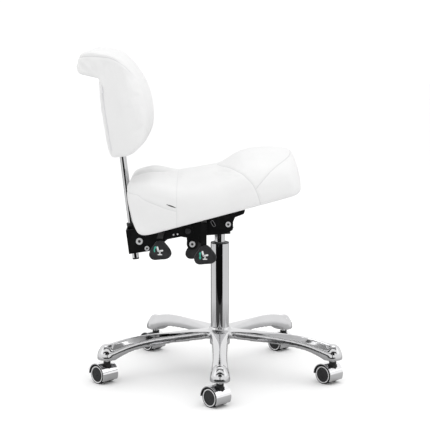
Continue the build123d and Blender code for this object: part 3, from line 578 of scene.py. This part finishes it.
def build_back():
    verts, faces = field_surface(back_field, (-376, -198, 602), (-164, 198, 898), BACK_CELL)
    obj = mesh_object("backrest_leather", verts, faces)
    p = get_verts(obj) / MM
    pinned = smoothstep(40, 24, bar_gap(p)) * smoothstep(626, 620, p[:, 2])
    simulate_padding(obj, seam_pins(pinned, back_seams(p)))
    subdivide(obj)
    folds = back_wrinkles(get_verts(obj) / MM)
    set_verts(obj, get_verts(obj) + vertex_normals(obj) * (folds * MM)[:, None])
    sew(obj, back_seams(get_verts(obj) / MM), depth=1.6)
    return obj


seat_leather = build_seat()
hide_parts("seat_cushion")
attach(seat_leather, "seat")

back_leather = build_back()
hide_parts("back_cushion")
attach(back_leather, "back")


# ---------------------------------------------------------------- materials
class Nodes:
    """Writes one material's nodes.  Patterns are laid out in the object's own coordinates, in metres."""

    def __init__(self, name):
        self.material = bpy.data.materials.new(name)
        self.material.use_nodes = True
        self.tree = self.material.node_tree
        self.tree.nodes.clear()
        self.out = self.add("ShaderNodeOutputMaterial")
        self.shader = self.add("ShaderNodeBsdfPrincipled")
        self.link(self.shader.outputs[0], self.out.inputs["Surface"])
        coords = self.add("ShaderNodeTexCoord")
        self.place = coords.outputs["Object"]

    def add(self, kind, **settings):
        node = self.tree.nodes.new(kind)
        for key, value in settings.items():
            setattr(node, key, value)
        return node

    def link(self, a, b):
        self.tree.links.new(a, b)

    def feed(self, socket, value):
        if isinstance(value, bpy.types.NodeSocket):
            self.link(value, socket)
        else:
            socket.default_value = value

    def math(self, operation, a, b=0.0, clamp=False):
        node = self.add("ShaderNodeMath", operation=operation, use_clamp=clamp)
        self.feed(node.inputs[0], a)
        self.feed(node.inputs[1], b)
        return node.outputs[0]

    def noise(self, scale, detail=2.0, roughness=0.5, stretch=None, distortion=0.0):
        node = self.add("ShaderNodeTexNoise")
        sizes = {"Scale": scale, "Detail": detail, "Roughness": roughness, "Distortion": distortion}
        for key, value in sizes.items():
            node.inputs[key].default_value = value
        self.link(self.stretched(stretch), node.inputs["Vector"])
        return node.outputs["Fac"]

    def stretched(self, stretch):
        if stretch is None:
            return self.place
        node = self.add("ShaderNodeMapping")
        node.inputs["Scale"].default_value = stretch
        self.link(self.place, node.inputs["Vector"])
        return node.outputs["Vector"]

    def voronoi(self, scale, feature="DISTANCE_TO_EDGE"):
        node = self.add("ShaderNodeTexVoronoi", feature=feature)
        node.inputs["Scale"].default_value = scale
        self.link(self.place, node.inputs["Vector"])
        return node.outputs["Distance"]

    def ramp(self, value, stops):
        """Colour ramp; a stop is its place and a grey level or a colour."""
        node = self.add("ShaderNodeValToRGB")
        ramp = node.color_ramp
        while len(ramp.elements) < len(stops):
            ramp.elements.new(0.5)
        for element, (at, shade) in zip(ramp.elements, stops):
            element.position = at
            element.color = (shade,) * 3 + (1,) if isinstance(shade, float) else tuple(shade) + (1,)
        self.feed(node.inputs["Fac"], value)
        return node.outputs["Color"]

    def tint(self, factor, pattern, shade):
        """The pattern's colour, moved towards the shade by the factor."""
        node = self.add("ShaderNodeMix", data_type="RGBA")
        self.link(factor, node.inputs["Factor"])
        self.link(pattern, node.inputs[6])
        node.inputs[7].default_value = shade + (1,)
        return node.outputs[2]

    def bump(self, height, strength, distance, under=None):
        node = self.add("ShaderNodeBump")
        node.inputs["Strength"].default_value = strength
        node.inputs["Distance"].default_value = distance
        self.link(height, node.inputs["Height"])
        if under is not None:
            self.link(under, node.inputs["Normal"])
        return node.outputs["Normal"]

    def seam_mask(self, names, half):
        """1 on the lines where the named seam attributes cross zero, fading to 0 over half millimetres."""
        mask = None
        for name in names:
            attribute = self.add("ShaderNodeAttribute", attribute_type="GEOMETRY", attribute_name=name)
            parts = self.add("ShaderNodeSeparateXYZ")
            self.link(attribute.outputs["Vector"], parts.inputs[0])
            gap = self.math("DIVIDE", self.math("ABSOLUTE", parts.outputs["X"]), half)
            line = self.math("SUBTRACT", 1.0, gap, clamp=True)
            shown = self.math("MULTIPLY", line, parts.outputs["Y"])
            mask = shown if mask is None else self.math("MAXIMUM", mask, shown)
        return mask

    def finish(self, color, roughness, metallic=0.0, normal=None, **sockets):
        self.feed(self.shader.inputs["Base Color"], color)
        self.feed(self.shader.inputs["Roughness"], roughness)
        self.shader.inputs["Metallic"].default_value = metallic
        if normal is not None:
            self.link(normal, self.shader.inputs["Normal"])
        for key, value in sockets.items():
            self.shader.inputs[key.replace("_", " ")].default_value = value
        return self.material


def spread(low, high):
    """Two ramp stops, grey levels or colours, that take a noise's usual values from low to high."""
    return [(0.3, low), (0.7, high)]


def leather(name, seams):
    n = Nodes(name)
    clouds = n.noise(9.0, 3.0)
    tone = n.ramp(clouds, spread(0.68, 0.71))
    # The seam lines tint the leather towards grey: painted shade in the seam grooves.
    seam = n.seam_mask(seams, 1.5)
    color = n.tint(n.math("MULTIPLY", seam, 0.45), tone, (0.40, 0.40, 0.41))
    grain = n.voronoi(760.0)
    creases = n.noise(160.0, 4.0, 0.65)
    slack = n.noise(14.0, 2.0, 0.5)
    normal = n.bump(slack, 0.25, 0.004)
    normal = n.bump(creases, 0.10, 0.0006, normal)
    normal = n.bump(grain, 0.22, 0.0004, normal)
    rough = n.ramp(creases, spread(0.40, 0.52))
    return n.finish(color, rough, normal=normal, Specular_IOR_Level=0.45, Coat_Weight=0.06,
                    Coat_Roughness=0.35)


def metal(name, shade, low, high, brush=None, scale=40.0, bump=0.02, metallic=1.0):
    """Bare or plated metal: wear from one noise in tone, roughness (low to high) and bump."""
    n = Nodes(name)
    wear = n.noise(scale, 4.0, 0.6, stretch=brush)
    color = n.ramp(wear, [(0.25, tuple(c * 0.93 for c in shade)), (0.75, shade)])
    rough = n.ramp(wear, spread(low, high))
    ripple = n.noise(6.0, 2.0)
    normal = n.bump(ripple, 0.05, 0.002)
    normal = n.bump(wear, bump, 0.0003, normal)
    return n.finish(color, rough, metallic=metallic, normal=normal)


def coating(name, dark, light, low, high, scale, strength, distance=0.0003, **sockets):
    """Painted or moulded surface: stipple in the bump, soft variation in tone."""
    n = Nodes(name)
    tone = n.ramp(n.noise(30.0, 4.0, 0.6), spread(dark, light))
    stipple = n.noise(scale, 2.0, 0.6)
    pits = n.voronoi(scale * 0.6, "F1")
    normal = n.bump(stipple, strength, distance)
    normal = n.bump(pits, strength * 0.6, distance, normal)
    rough = n.ramp(stipple, spread(low, high))
    return n.finish(tone, rough, normal=normal, **sockets)


def plywood(name):
    n = Nodes(name)
    grain = n.noise(18.0, 6.0, 0.6, stretch=(1.0, 9.0, 9.0), distortion=0.6)
    color = n.ramp(grain, [(0.25, (0.50, 0.36, 0.21)), (0.5, (0.66, 0.50, 0.31)),
                           (0.8, (0.74, 0.60, 0.40))])
    fibre = n.noise(240.0, 3.0, 0.6, stretch=(1.0, 12.0, 12.0))
    normal = n.bump(fibre, 0.25, 0.0004)
    return n.finish(color, n.ramp(fibre, spread(0.62, 0.78)), normal=normal)


SEAT_SEAMS = ["seam_curved", "seam_diagonal", "seam_rear", "seam_slant", "seam_centre"]
BACK_SEAMS = ["seam_top", "seam_back"]
MATERIALS = {
    "polished_aluminium": metal("polished_aluminium", (0.66, 0.66, 0.67), 0.06, 0.11, scale=14.0),
    "chrome": metal("chrome", (0.62, 0.62, 0.63), 0.03, 0.06, brush=(1, 1, 0.15), scale=30.0, bump=0.01),
    "bright_steel": metal("bright_steel", (0.88, 0.88, 0.89), 0.32, 0.46, scale=220.0, bump=0.06,
                          metallic=0.6),
    "black_fastener": metal("black_fastener", (0.10, 0.10, 0.105), 0.32, 0.45, scale=200.0, bump=0.05),
    "black_steel": coating("black_steel", (0.0035, 0.0035, 0.0038), (0.007, 0.007, 0.0074), 0.36, 0.5,
                           900.0, 0.2, Specular_IOR_Level=0.12),
    "black_plastic": coating("black_plastic", 0.008, (0.014, 0.014, 0.015), 0.36, 0.5, 1100.0, 0.18,
                             Specular_IOR_Level=0.3),
    "grey_plastic": coating("grey_plastic", (0.016, 0.016, 0.017), (0.030, 0.030, 0.032), 0.45, 0.6,
                            620.0, 0.7, 0.0008, Specular_IOR_Level=0.3),
    "caster_tread": coating("caster_tread", 0.010, (0.018, 0.018, 0.019), 0.42, 0.58, 600.0, 0.2,
                            Specular_IOR_Level=0.3),
    "plywood": plywood("plywood"),
}
# Lighter copy of the chrome for the caster hoods, which are plated like the column: it paints the brighter
# reflections they show.
HOOD_CHROME_LIT = metal("hood_chrome_lit", (0.86, 0.86, 0.87), 0.05, 0.09, scale=30.0, bump=0.01)
# Bare-metal grey for the rims of the flange slots: worn paint along their edges, and a painted highlight on
# the rim.
WORN_EDGE_HIGHLIGHT = metal("worn_edge_highlight", (0.34, 0.34, 0.35), 0.35, 0.5, scale=300.0, bump=0.05)
WHEEL_FACE = coating("wheel_face", (0.013, 0.013, 0.014), (0.030, 0.030, 0.031), 0.5, 0.65, 420.0, 0.8,
                     0.0008, Specular_IOR_Level=0.3)
MARK_WHITE = coating("mark_white", (0.62, 0.63, 0.63), (0.74, 0.75, 0.75), 0.45, 0.6, 500.0, 0.15)
MARK_GREEN = coating("mark_green", (0.03, 0.36, 0.27), (0.05, 0.46, 0.35), 0.45, 0.6, 500.0, 0.15)
ZIP_TAPE = coating("zip_tape", (0.60, 0.60, 0.61), (0.68, 0.68, 0.69), 0.6, 0.75, 900.0, 0.4)
# Dark colour of the ribbons in the seat's slits: painted shade inside the openings.
SLIT_SHADE = coating("slit_shade", (0.020, 0.020, 0.021), (0.035, 0.035, 0.036), 0.6, 0.75, 700.0, 0.3)
SEAT_LEATHER = leather("white_leather_seat", SEAT_SEAMS)
BACK_LEATHER = leather("white_leather_back", BACK_SEAMS)


def dress(obj, material):
    obj.data.materials.clear()
    obj.data.materials.append(material)


def round_casting(node, voxel=0.0025, passes=10):
    """Rounds the edges of a casting that the CAD leaves sharp."""
    remesh = node.modifiers.new("even", "REMESH")
    remesh.mode = "VOXEL"
    remesh.voxel_size = voxel
    remesh.use_smooth_shade = True
    soften = node.modifiers.new("soften", "SMOOTH")
    soften.factor = 0.5
    soften.iterations = passes


round_casting(NODES["star_base"])
# Caster hoods take the lighter chrome copy, a painted reflection brightness.
for node_name, node in NODES.items():
    slot_name = SLOT_OF.get(node_name)
    if slot_name in MATERIALS:
        dress(node, HOOD_CHROME_LIT if node_name.endswith("_hood") else MATERIALS[slot_name])
dress(seat_leather, SEAT_LEATHER)
dress(back_leather, BACK_LEATHER)


# ---------------------------------------------------------------- small parts
def bmesh_object(name, mesh):
    data = bpy.data.meshes.new(name)
    mesh.to_mesh(data)
    mesh.free()
    return link_object(name, data)


def solid(name, verts, faces, sharp=50):
    """Closed piece with outward normals, shaded smooth except across edges sharper than sharp degrees."""
    obj = mesh_object(name, verts, faces, scale=1)
    mesh = bmesh.new()
    mesh.from_mesh(obj.data)
    bmesh.ops.recalc_face_normals(mesh, faces=mesh.faces)
    mesh.to_mesh(obj.data)
    mesh.free()
    obj.data.set_sharp_from_angle(angle=math.radians(sharp))
    return obj


def bands(rings, loop, closed):
    """Quads between rings of loop points each, numbered one ring after another."""
    faces = []
    for r in range(rings if closed else rings - 1):
        low, high = r * loop, (r + 1) % rings * loop
        for k in range(loop):
            j = (k + 1) % loop
            faces.append((low + k, low + j, high + j, high + k))
    return faces


def lathe(name, profile, centre, axis, turns=64):
    """Turned part: profile is (radius, height) in millimetres, a closed loop or open from axis to axis."""
    z = Vector(axis).normalized()
    x = z.orthogonal().normalized()
    y = z.cross(x)
    centre = Vector(centre)
    on_axis = profile[0][0] == 0 and profile[-1][0] == 0
    rings = profile[1:-1] if on_axis else profile
    verts = []
    for radius, height in rings:
        for k in range(turns):
            a = 2 * math.pi * k / turns
            verts.append(centre + (x * math.cos(a) + y * math.sin(a)) * radius * MM + z * height * MM)
    count = len(rings)
    faces = bands(count, turns, not on_axis)
    if on_axis:
        for (_, height), ring, flip in ((profile[0], 0, True), (profile[-1], count - 1, False)):
            tip = len(verts)
            verts.append(centre + z * height * MM)
            for k in range(turns):
                j = (k + 1) % turns
                a, b = ring * turns + k, ring * turns + j
                faces.append((tip, b, a) if flip else (tip, a, b))
    return solid(name, verts, faces, 32)


def add_piece(obj, body, slot, material=None):
    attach(obj, body)
    dress(obj, material or MATERIALS[slot])


WHEEL_RECESS_Y = 23.0
WHEEL_RING = [(19.9, -0.3), (22.5, -0.3), (22.5, 0.9), (22.1, 1.35), (20.6, 1.35), (19.9, 0.8)]
WHEEL_DISC = [
    (0, -0.3), (19.7, -0.3), (19.7, 0.3), (19.2, 0.7), (16.5, 0.9), (14.0, 0.9), (13.6, 0.6), (12.8, 0.6),
    (12.4, 0.95), (6.2, 1.05), (5.8, 0.7), (5.0, 0.7), (4.6, 1.2), (3.4, 1.5), (0, 1.6)
]
STEM_CIRCLE_R = 0.3165
CASTER_TRAIL = 0.015
CASTER_HEADING = math.radians(135)
WHEEL_AXIS = Vector((-math.sin(CASTER_HEADING), math.cos(CASTER_HEADING), 0))

for number in range(1, 6):
    turn = math.radians(-90 + 72 * (number - 1))
    hub = Vector((STEM_CIRCLE_R * math.cos(turn) + CASTER_TRAIL * math.cos(CASTER_HEADING),
                  STEM_CIRCLE_R * math.sin(turn) + CASTER_TRAIL * math.sin(CASTER_HEADING), 0.025))
    for side_name, sign in SIDES:
        axis = WHEEL_AXIS * sign
        face = hub + axis * WHEEL_RECESS_Y * MM
        wheel = f"caster_{number}_{side_name}"
        add_piece(lathe(f"{wheel}_ring", WHEEL_RING, face, axis), wheel, "chrome", MATERIALS["bright_steel"])
        add_piece(lathe(f"{wheel}_disc", WHEEL_DISC, face, axis), wheel, "grey_plastic", WHEEL_FACE)


def ribbon(name, points, normals, profile, tapered=False):
    """Band along points; profile is (across, height) in millimetres, a closed loop."""
    verts = []
    count, loop = len(points), len(profile)
    for i, (point, normal) in enumerate(zip(points, normals)):
        ahead = (points[min(i + 1, count - 1)] - points[max(i - 1, 0)]).normalized()
        across = ahead.cross(normal).normalized()
        taper = math.sin(math.pi * (0.06 + 0.88 * i / (count - 1))) if tapered else 1.0
        for a, h in profile:
            verts.append(point + across * a * taper * MM + normal * h * MM)
    faces = bands(count, loop, False)
    faces.append(tuple(range(loop)))
    faces.append(tuple(range((count - 1) * loop, count * loop))[::-1])
    return solid(name, verts, faces)


def on_leather(obj, points, direction):
    """Points dropped onto a leather surface along a direction, with the surface's normals."""
    mesh = bmesh.new()
    mesh.from_mesh(obj.data)
    tree = BVHTree.FromBMesh(mesh)
    mesh.free()
    direction = Vector(direction)
    found, normals = [], []
    for point in points:
        start = Vector(point) * MM - direction * 0.1
        place, normal, _, _ = tree.ray_cast(start, direction, 0.25)
        if place is not None:
            found.append(place)
            normals.append(normal)
    return found, normals


OUTSIDE_Y = 200  # where a point is dropped onto a cushion's side from
SLIT_PROFILE = [(-1.6, -1.5), (-1.6, 0.1), (-0.8, 0.45), (0.8, 0.45), (1.6, 0.1), (1.6, -1.5)]
ZIP_TAPE_PROFILE = [(-1.7, -1.0), (-1.7, 0.05), (-1.4, 0.12), (1.4, 0.12), (1.7, 0.05), (1.7, -1.0)]
ZIP_PITCH = 2.2

# A dark ribbon along each side slit of the seat paints the shade inside it.
for side_name, sign in SIDES:
    run = np.linspace((-137, sign * OUTSIDE_Y, 496.5), (-112, sign * OUTSIDE_Y, 487.5), 14)
    found, normals = on_leather(seat_leather, run, (0, -sign, 0))
    add_piece(ribbon(f"seat_slit_{side_name}", found, normals, SLIT_PROFILE, tapered=True), "seat",
              "black_fastener", SLIT_SHADE)

ZIP_LINE = [(-275.5, 634), (-279.5, 655), (-285.5, 695), (-291.5, 735), (-295, 765), (-297, 795)]
TOOTH_LIFT = 0.5
TOOTH_HALF_LENGTH = 0.62
TOOTH_LAYERS = ((-0.4, 0.8), (0.2, 0.8), (0.4, 0.5))  # height and half width
PULLER_STEPS, PULLER_STEP, PULLER_START = 12, 1.6, -3
PULLER_LIFT, PULLER_RISE = 1.4, 0.08
PULLER_PROFILE = [(-1.1, -0.5), (-1.1, 0.2), (-0.7, 0.5), (0.7, 0.5), (1.1, 0.2), (1.1, -0.5)]


def add_tooth(chain, centre, along, normal):
    across = along.cross(normal).normalized()
    corners = []
    for height, half in TOOTH_LAYERS:
        for a, b in ((-1, -1), (1, -1), (1, 1), (-1, 1)):
            corners.append(chain.verts.new(centre + along * a * TOOTH_HALF_LENGTH * MM
                                           + across * b * half * MM + normal * height * MM))
    for face in bands(len(TOOTH_LAYERS), 4, False):
        chain.faces.new([corners[i] for i in face])
    chain.faces.new(corners[3::-1])
    chain.faces.new(corners[-4:])


def build_zip_teeth(points, normals):
    """A row of teeth at an even pitch along points."""
    chain = bmesh.new()
    travelled = 0.0
    step = ZIP_PITCH * MM
    for i in range(1, len(points)):
        leg = points[i] - points[i - 1]
        while travelled + step * 0.5 < leg.length:
            along = leg.normalized()
            centre = points[i - 1] + along * (travelled + step * 0.5) + normals[i] * TOOTH_LIFT * MM
            add_tooth(chain, centre, along, normals[i])
            travelled += step
        travelled -= leg.length
    bmesh.ops.recalc_face_normals(chain, faces=chain.faces)
    return bmesh_object("backrest_zip_teeth", chain)


def build_zip_puller(points, normals):
    """A small tongue that hangs from the zip's upper end."""
    top, normal = points[-1], normals[-1]
    down = (points[-4] - top).normalized()
    run = [top + normal * (PULLER_LIFT + PULLER_RISE * k) * MM + down * (k * PULLER_STEP + PULLER_START) * MM
           for k in range(PULLER_STEPS)]
    return ribbon("backrest_zip_puller", run, [normal] * len(run), PULLER_PROFILE)


zip_run = [(x, -OUTSIDE_Y, z) for x, z in spline_points(ZIP_LINE, per_span=16)]
found, normals = on_leather(back_leather, zip_run, (0, 1, 0))
zip_tape = ribbon("backrest_zip_tape", found, normals, ZIP_TAPE_PROFILE)
add_piece(zip_tape, "back", "white_upholstery", ZIP_TAPE)
add_piece(build_zip_teeth(found, normals), "back", "white_upholstery", ZIP_TAPE)
add_piece(build_zip_puller(found, normals), "back", "bright_steel")


RIVET = [(0, -0.8), (2.4, -0.8), (2.4, 0.3), (2.0, 0.9), (1.1, 1.3), (0, 1.4)]
RIVET_PLACES = [(-123.0, 396.4), (-112.4, 397.8)]
# Profile of a dark plug in a bolt head's socket: painted shade in the recess.
SOCKET_SHADE_PLUG = [(0, -1.8), (0.86, -1.8), (0.86, -0.9), (0.78, -0.75), (0.3, -1.1), (0, -1.15)]
SOCKET_HEADS = [("front_pivot", "front_pivot_bolt", (22.0, 424.6), 3.6, "lift"),
                ("rear_pivot", "rear_pivot_bolt", (-85.0, 406.0), 3.8, "lift"),
                ("lock", "lock_bolt", (-73.5, 370.0), 4.0, "lift"),
                ("rear_clamp", "bar_clamp_screws", (-214.0, 379.0), 4.5, "back_arm"),
                ("front_clamp", "bar_clamp_screws", (-194.0, 360.0), 3.1, "back_arm")]

# Each socket gets a dark plug that paints the shade inside it.
for head, node_name, (x, z), radius, body in SOCKET_HEADS:
    face = Vector((x * MM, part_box(node_name)[0][1], z * MM))
    shade_plug = [(r * radius, h) for r, h in SOCKET_SHADE_PLUG]
    add_piece(lathe(f"{head}_socket_shade_plug", shade_plug, face, (0, -1, 0), turns=24), body, "black_fastener")
for number, (x, z) in enumerate(RIVET_PLACES, start=1):
    face = Vector((x * MM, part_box("back_arm")[0][1], z * MM))
    add_piece(lathe(f"arm_rivet_{number}", RIVET, face, (0, -1, 0), turns=24), "back_arm", "bright_steel")

PADDLE_OUTLINE = [
    (-8, 25.5), (8, 25.5), (16, 17.5), (27, 2), (29, -8), (20, -18.5), (0, -21.5), (-22, -20.5),
    (-29, -10), (-26, 2), (-16, 17.5)
]
PADDLE_RIM = [(0.3, -0.8), (0.5, 0.5), (1.3, 1.2), (2.7, 1.3), (3.7, 0.9), (4.1, -0.5)]
MARK_LAYERS = (-0.3, 0.35)


def heading(a, b):
    """Unit vector from a to b in a plane."""
    length = math.hypot(b[0] - a[0], b[1] - a[1])
    return (b[0] - a[0]) / length, (b[1] - a[1]) / length


def inset_loop(points, distance):
    """The closed outline moved inwards by a distance."""
    result = []
    for i, (x, z) in enumerate(points):
        dx, dz = heading(points[i - 1], points[(i + 1) % len(points)])
        result.append((x + dz * distance, z - dx * distance))
    return result


def build_rim(name, outline, profile, centre, face_y, outward):
    """Rounded bead along a closed outline on an upright face; profile is (inset, height)."""
    verts = []
    for inset, height in profile:
        for x, z in inset_loop(outline, inset):
            verts.append(((centre[0] + x) * MM, (face_y + outward * height) * MM, (centre[1] + z) * MM))
    faces = bands(len(profile), len(outline), True)
    return solid(name, verts, faces)


FLANGE_FACE_Y = 61.0
FLANGE_SLOT_CENTRE = (-18.0, 426.0)
FLANGE_SLOT = (5.5, 3.0, 60)  # half length between its ends' centres, radius, lean
FLANGE_SLOT_EDGE = [(0.1, -0.4), (0.1, 0.25), (-0.25, 0.5), (-0.75, 0.5), (-1.1, 0.25), (-1.1, -0.4)]


def slot_outline(half, radius, lean, steps=32):
    """Outline of a slot with round ends; half is from its centre to each end's centre, lean in degrees."""
    turn = math.radians(lean)
    points = []
    for k in range(steps):
        a = math.pi / 2 - 2 * math.pi * (k + 0.5) / steps
        x, z = radius * math.cos(a) + math.copysign(half, math.cos(a)), radius * math.sin(a)
        points.append((x * math.cos(turn) + z * math.sin(turn), z * math.cos(turn) - x * math.sin(turn)))
    return points


# A raised rim around each flange slot, in worn-edge grey that also paints a highlight.
for side_name, sign in SIDES:
    edge = build_rim(f"flange_slot_edge_{side_name}", slot_outline(*FLANGE_SLOT), FLANGE_SLOT_EDGE,
                     FLANGE_SLOT_CENTRE, sign * FLANGE_FACE_Y, sign)
    add_piece(edge, "seat", "black_steel", WORN_EDGE_HIGHLIGHT)


CAP_REACH = 0.7  # how far a stroke's round end reaches, in half widths


def stroke_outline(points, half):
    """Outline of a thick line with round ends."""
    left, right, caps = [], [], []
    for i, (x, z) in enumerate(points):
        dx, dz = heading(points[max(i - 1, 0)], points[min(i + 1, len(points) - 1)])
        left.append((x - dz * half, z + dx * half))
        right.append((x + dz * half, z - dx * half))
    for before, (x, z) in (points[-2:], points[1::-1]):
        dx, dz = heading(before, (x, z))
        caps.append((x + dx * half * CAP_REACH, z + dz * half * CAP_REACH))
    return left + caps[:1] + right[::-1] + caps[1:]


def build_marks(name, outlines, centre, face_y, outward):
    """Thin raised shapes on a paddle's face."""
    mesh = bmesh.new()
    for outline in outlines:
        corners = []
        for height in MARK_LAYERS:
            y = (face_y + outward * height) * MM
            corners += [mesh.verts.new(((centre[0] + x) * MM, y, (centre[1] + z) * MM)) for x, z in outline]
        count = len(outline)
        for face in bands(len(MARK_LAYERS), count, False):
            mesh.faces.new([corners[i] for i in face])
        mesh.faces.new(corners[:count])
        mesh.faces.new(corners[:count - 1:-1])
    bmesh.ops.recalc_face_normals(mesh, faces=mesh.faces)
    bmesh.ops.triangulate(mesh, faces=[f for f in mesh.faces if len(f.verts) > 4])
    return bmesh_object(name, mesh)


CHAIR_STROKES = [([(-7.5, 12.0), (-6.4, 7), (-5, 1.5)], 2.3), ([(-5.5, 0.5), (0, 1.2), (6.5, 2.4)], 2.2),
                 ([(-0.4, 0.5), (-1.0, -7.0)], 1.4), ([(-6.0, -8.4), (4.4, -8.4)], 1.3)]
ARROW_STROKES = {
    "lift_lever": [([(-13.5, -4.0), (-13.5, 5.5)], 1.3)],
    "back_lever": [([(-14.5, -1.0), (-15.6, 4.0), (-13.8, 9.5)], 1.3)],
    "seat_lever": [([(-6.0, -4.0), (0.5, -5.2), (7.0, -2.5)], 0.9)],
}
ARROW_HEADS = {
    "lift_lever": [[(-16.9, 5.0), (-10.1, 5.0), (-13.5, 11.4)],
                   [(-16.9, -3.5), (-13.5, -9.4), (-10.1, -3.5)]],
    "back_lever": [[(-16.9, 10.6), (-11.4, 7.4), (-10.6, 14.6)]],
    "seat_lever": [[(5.2, 0.4), (8.6, -5.0), (11.4, 1.2)]],
}
PADDLES = [("lift_lever", (-38.0, 356.0), -1), ("back_lever", (-155.0, 368.0), -1),
           ("seat_lever", (-67.0, 321.0), 1)]

for lever, centre, outward in PADDLES:
    low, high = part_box(f"{lever}_paddle")
    face_y = (low[1] if outward < 0 else high[1]) / MM
    edge = spline_points(PADDLE_OUTLINE, closed=True, per_span=10)
    rim = build_rim(f"{lever}_paddle_rim", edge, PADDLE_RIM, centre, face_y, outward)
    add_piece(rim, lever, "grey_plastic")
    for mark, strokes, heads, paint in (("chair", CHAIR_STROKES, [], MARK_WHITE),
                                        ("arrow", ARROW_STROKES[lever], ARROW_HEADS[lever], MARK_GREEN)):
        outlines = [stroke_outline(points, half) for points, half in strokes] + heads
        outlines = [[(-outward * x, z) for x, z in outline] for outline in outlines]
        marks = build_marks(f"{lever}_{mark}_mark", outlines, centre, face_y, outward)
        add_piece(marks, lever, "grey_plastic", paint)


# ---------------------------------------------------------------- camera, floor, light
# The camera was fitted to the photograph; CAMERA_DOWN is in degrees.
CAMERA_PLACE = (-0.005743, -3.68706, 1.00988)
CAMERA_DOWN = 8.786
CAMERA_ROLL = 0.002
CAMERA_LENS = 115.87
SKY_STRENGTH = 1.07
FLOOR_REACH = 14
CARD_LIFT = 0.004  # the cards' height over the floor


def add_area(name, place, aim, size, power):
    light = bpy.data.lights.new(name, "AREA")
    light.shape = "RECTANGLE"
    light.size = size
    light.size_y = size
    light.energy = power
    obj = link_object(name, light)
    obj.location = place
    obj.rotation_euler = (Vector(aim) - Vector(place)).to_track_quat("-Z", "Y").to_euler()


def build_camera():
    data = bpy.data.cameras.new("camera")
    data.lens = CAMERA_LENS
    data.sensor_width = 36.0
    data.clip_end = 60
    camera = link_object("camera", data)
    camera.location = CAMERA_PLACE
    camera.rotation_euler = (math.radians(90 - CAMERA_DOWN), 0, CAMERA_ROLL)
    bpy.context.scene.camera = camera


def stage_plane(name, corners, material):
    obj = mesh_object(name, corners, [(0, 1, 2, 3)], scale=1, smooth=False)
    dress(obj, material)
    return obj


def build_stage():
    scene = bpy.context.scene
    scene.view_settings.view_transform = "Standard"
    scene.view_settings.look = "None"
    world = bpy.data.worlds.new("studio")
    world.use_nodes = True
    background = world.node_tree.nodes["Background"]
    background.inputs["Color"].default_value = (1, 1, 1, 1)
    background.inputs["Strength"].default_value = SKY_STRENGTH
    scene.world = world
    n = Nodes("floor_paper")
    tone = n.ramp(n.noise(3.0, 2.0), spread(0.955, 0.965))
    n.finish(tone, 0.9, Specular_IOR_Level=0.1)
    corners = [(x * FLOOR_REACH, y * FLOOR_REACH, 0) for x, y in ((-1, -1), (1, -1), (1, 1), (-1, 1))]
    stage_plane("floor", corners, n.material)
    add_area("top_light", (0.2, -0.4, 3.2), (0, 0, 0.3), 3.4, 30)
    add_area("left_light", (-3.0, -1.0, 1.8), (0, 0, 0.4), 2.0, 4)
    add_area("right_light", (3.0, -0.6, 1.8), (0, 0, 0.4), 2.0, 4)


def sector(start, end, near, far):
    """Floor-level ring sector; angles in degrees from the front, positive to the right."""
    corners = []
    for angle, radius in ((start, near), (start, far), (end, far), (end, near)):
        a = math.radians(angle)
        corners.append((radius * math.sin(a), -radius * math.cos(a), CARD_LIFT))
    return corners


def on_floor(corners):
    return [(x, y, CARD_LIFT) for x, y in corners]


def upright(half, y, low, high):
    return [(-half, y, low), (half, y, low), (half, y, high), (-half, y, high)]


def overhead_strip(low, high, radius=2.5, half=2.6):
    """Strip across the studio above the front; low and high are degrees of elevation seen from the base."""
    rows = []
    for elevation in (low, high):
        a = math.radians(elevation)
        rows.append((-radius * math.cos(a), 0.1 + radius * math.sin(a)))
    (y0, z0), (y1, z1) = rows
    return [(-half, y0, z0), (half, y0, z0), (half, y1, z1), (-half, y1, z1)]


def flag_material(name, shade):
    n = Nodes(name)
    return n.finish(n.ramp(n.noise(2.0), spread(shade, shade * 1.1)), 1.0, Specular_IOR_Level=0.0)


def fading_floor_material():
    """Grey under the base, paler away from it."""
    n = Nodes("flag_floor")
    distance = n.add("ShaderNodeVectorMath", operation="LENGTH")
    n.link(n.place, distance.inputs[0])
    reach = n.math("DIVIDE", distance.outputs["Value"], 2.0, clamp=True)
    tone = n.ramp(reach, [(0.08, 0.40), (0.32, 0.50), (0.48, 0.74)])
    return n.finish(tone, 1.0, Specular_IOR_Level=0.0)


def build_flags():
    """Cards that only reflections see: they draw the dark lines in the chrome."""
    black = flag_material("flag_black", 0.005)
    dim = flag_material("flag_dim", 0.06)
    grey = flag_material("flag_grey", 0.25)
    cards = [("flag_floor", [(-6, -6.5, 0.001), (6, -6.5, 0.001), (6, 6, 0.001), (-6, 6, 0.001)],
              fading_floor_material()),
             ("flag_stripe_near", on_floor([(-0.50, -0.46), (-1.12, -0.9), (0.64, -0.9), (0.30, -0.46)]),
              dim),
             ("flag_front", upright(0.16, -2.2, CARD_LIFT, 1.7), dim),
             ("flag_stripe_far", on_floor([(-1.12, -0.9), (-8.2, -6.5), (4.5, -6.5), (0.64, -0.9)]), black),
             ("flag_edge_left", sector(-152, -130, 0.5, 5.0), black),
             ("flag_edge_right", sector(140, 152, 0.5, 5.0), dim),
             ("flag_high", upright(1.6, -4.2, 1.5, 2.7), black),
             ("flag_strip_low", overhead_strip(31, 37), black),
             ("flag_strip_mid", overhead_strip(50, 60), dim),
             ("flag_strip_grey", overhead_strip(62.5, 70), grey),
             ("flag_strip_top", overhead_strip(72, 77), black)]
    for name, corners, material in cards:
        card = stage_plane(name, corners, material)
        for ray in ("camera", "diffuse", "transmission", "volume_scatter", "shadow"):
            setattr(card, f"visible_{ray}", False)


build_camera()
build_stage()
build_flags()
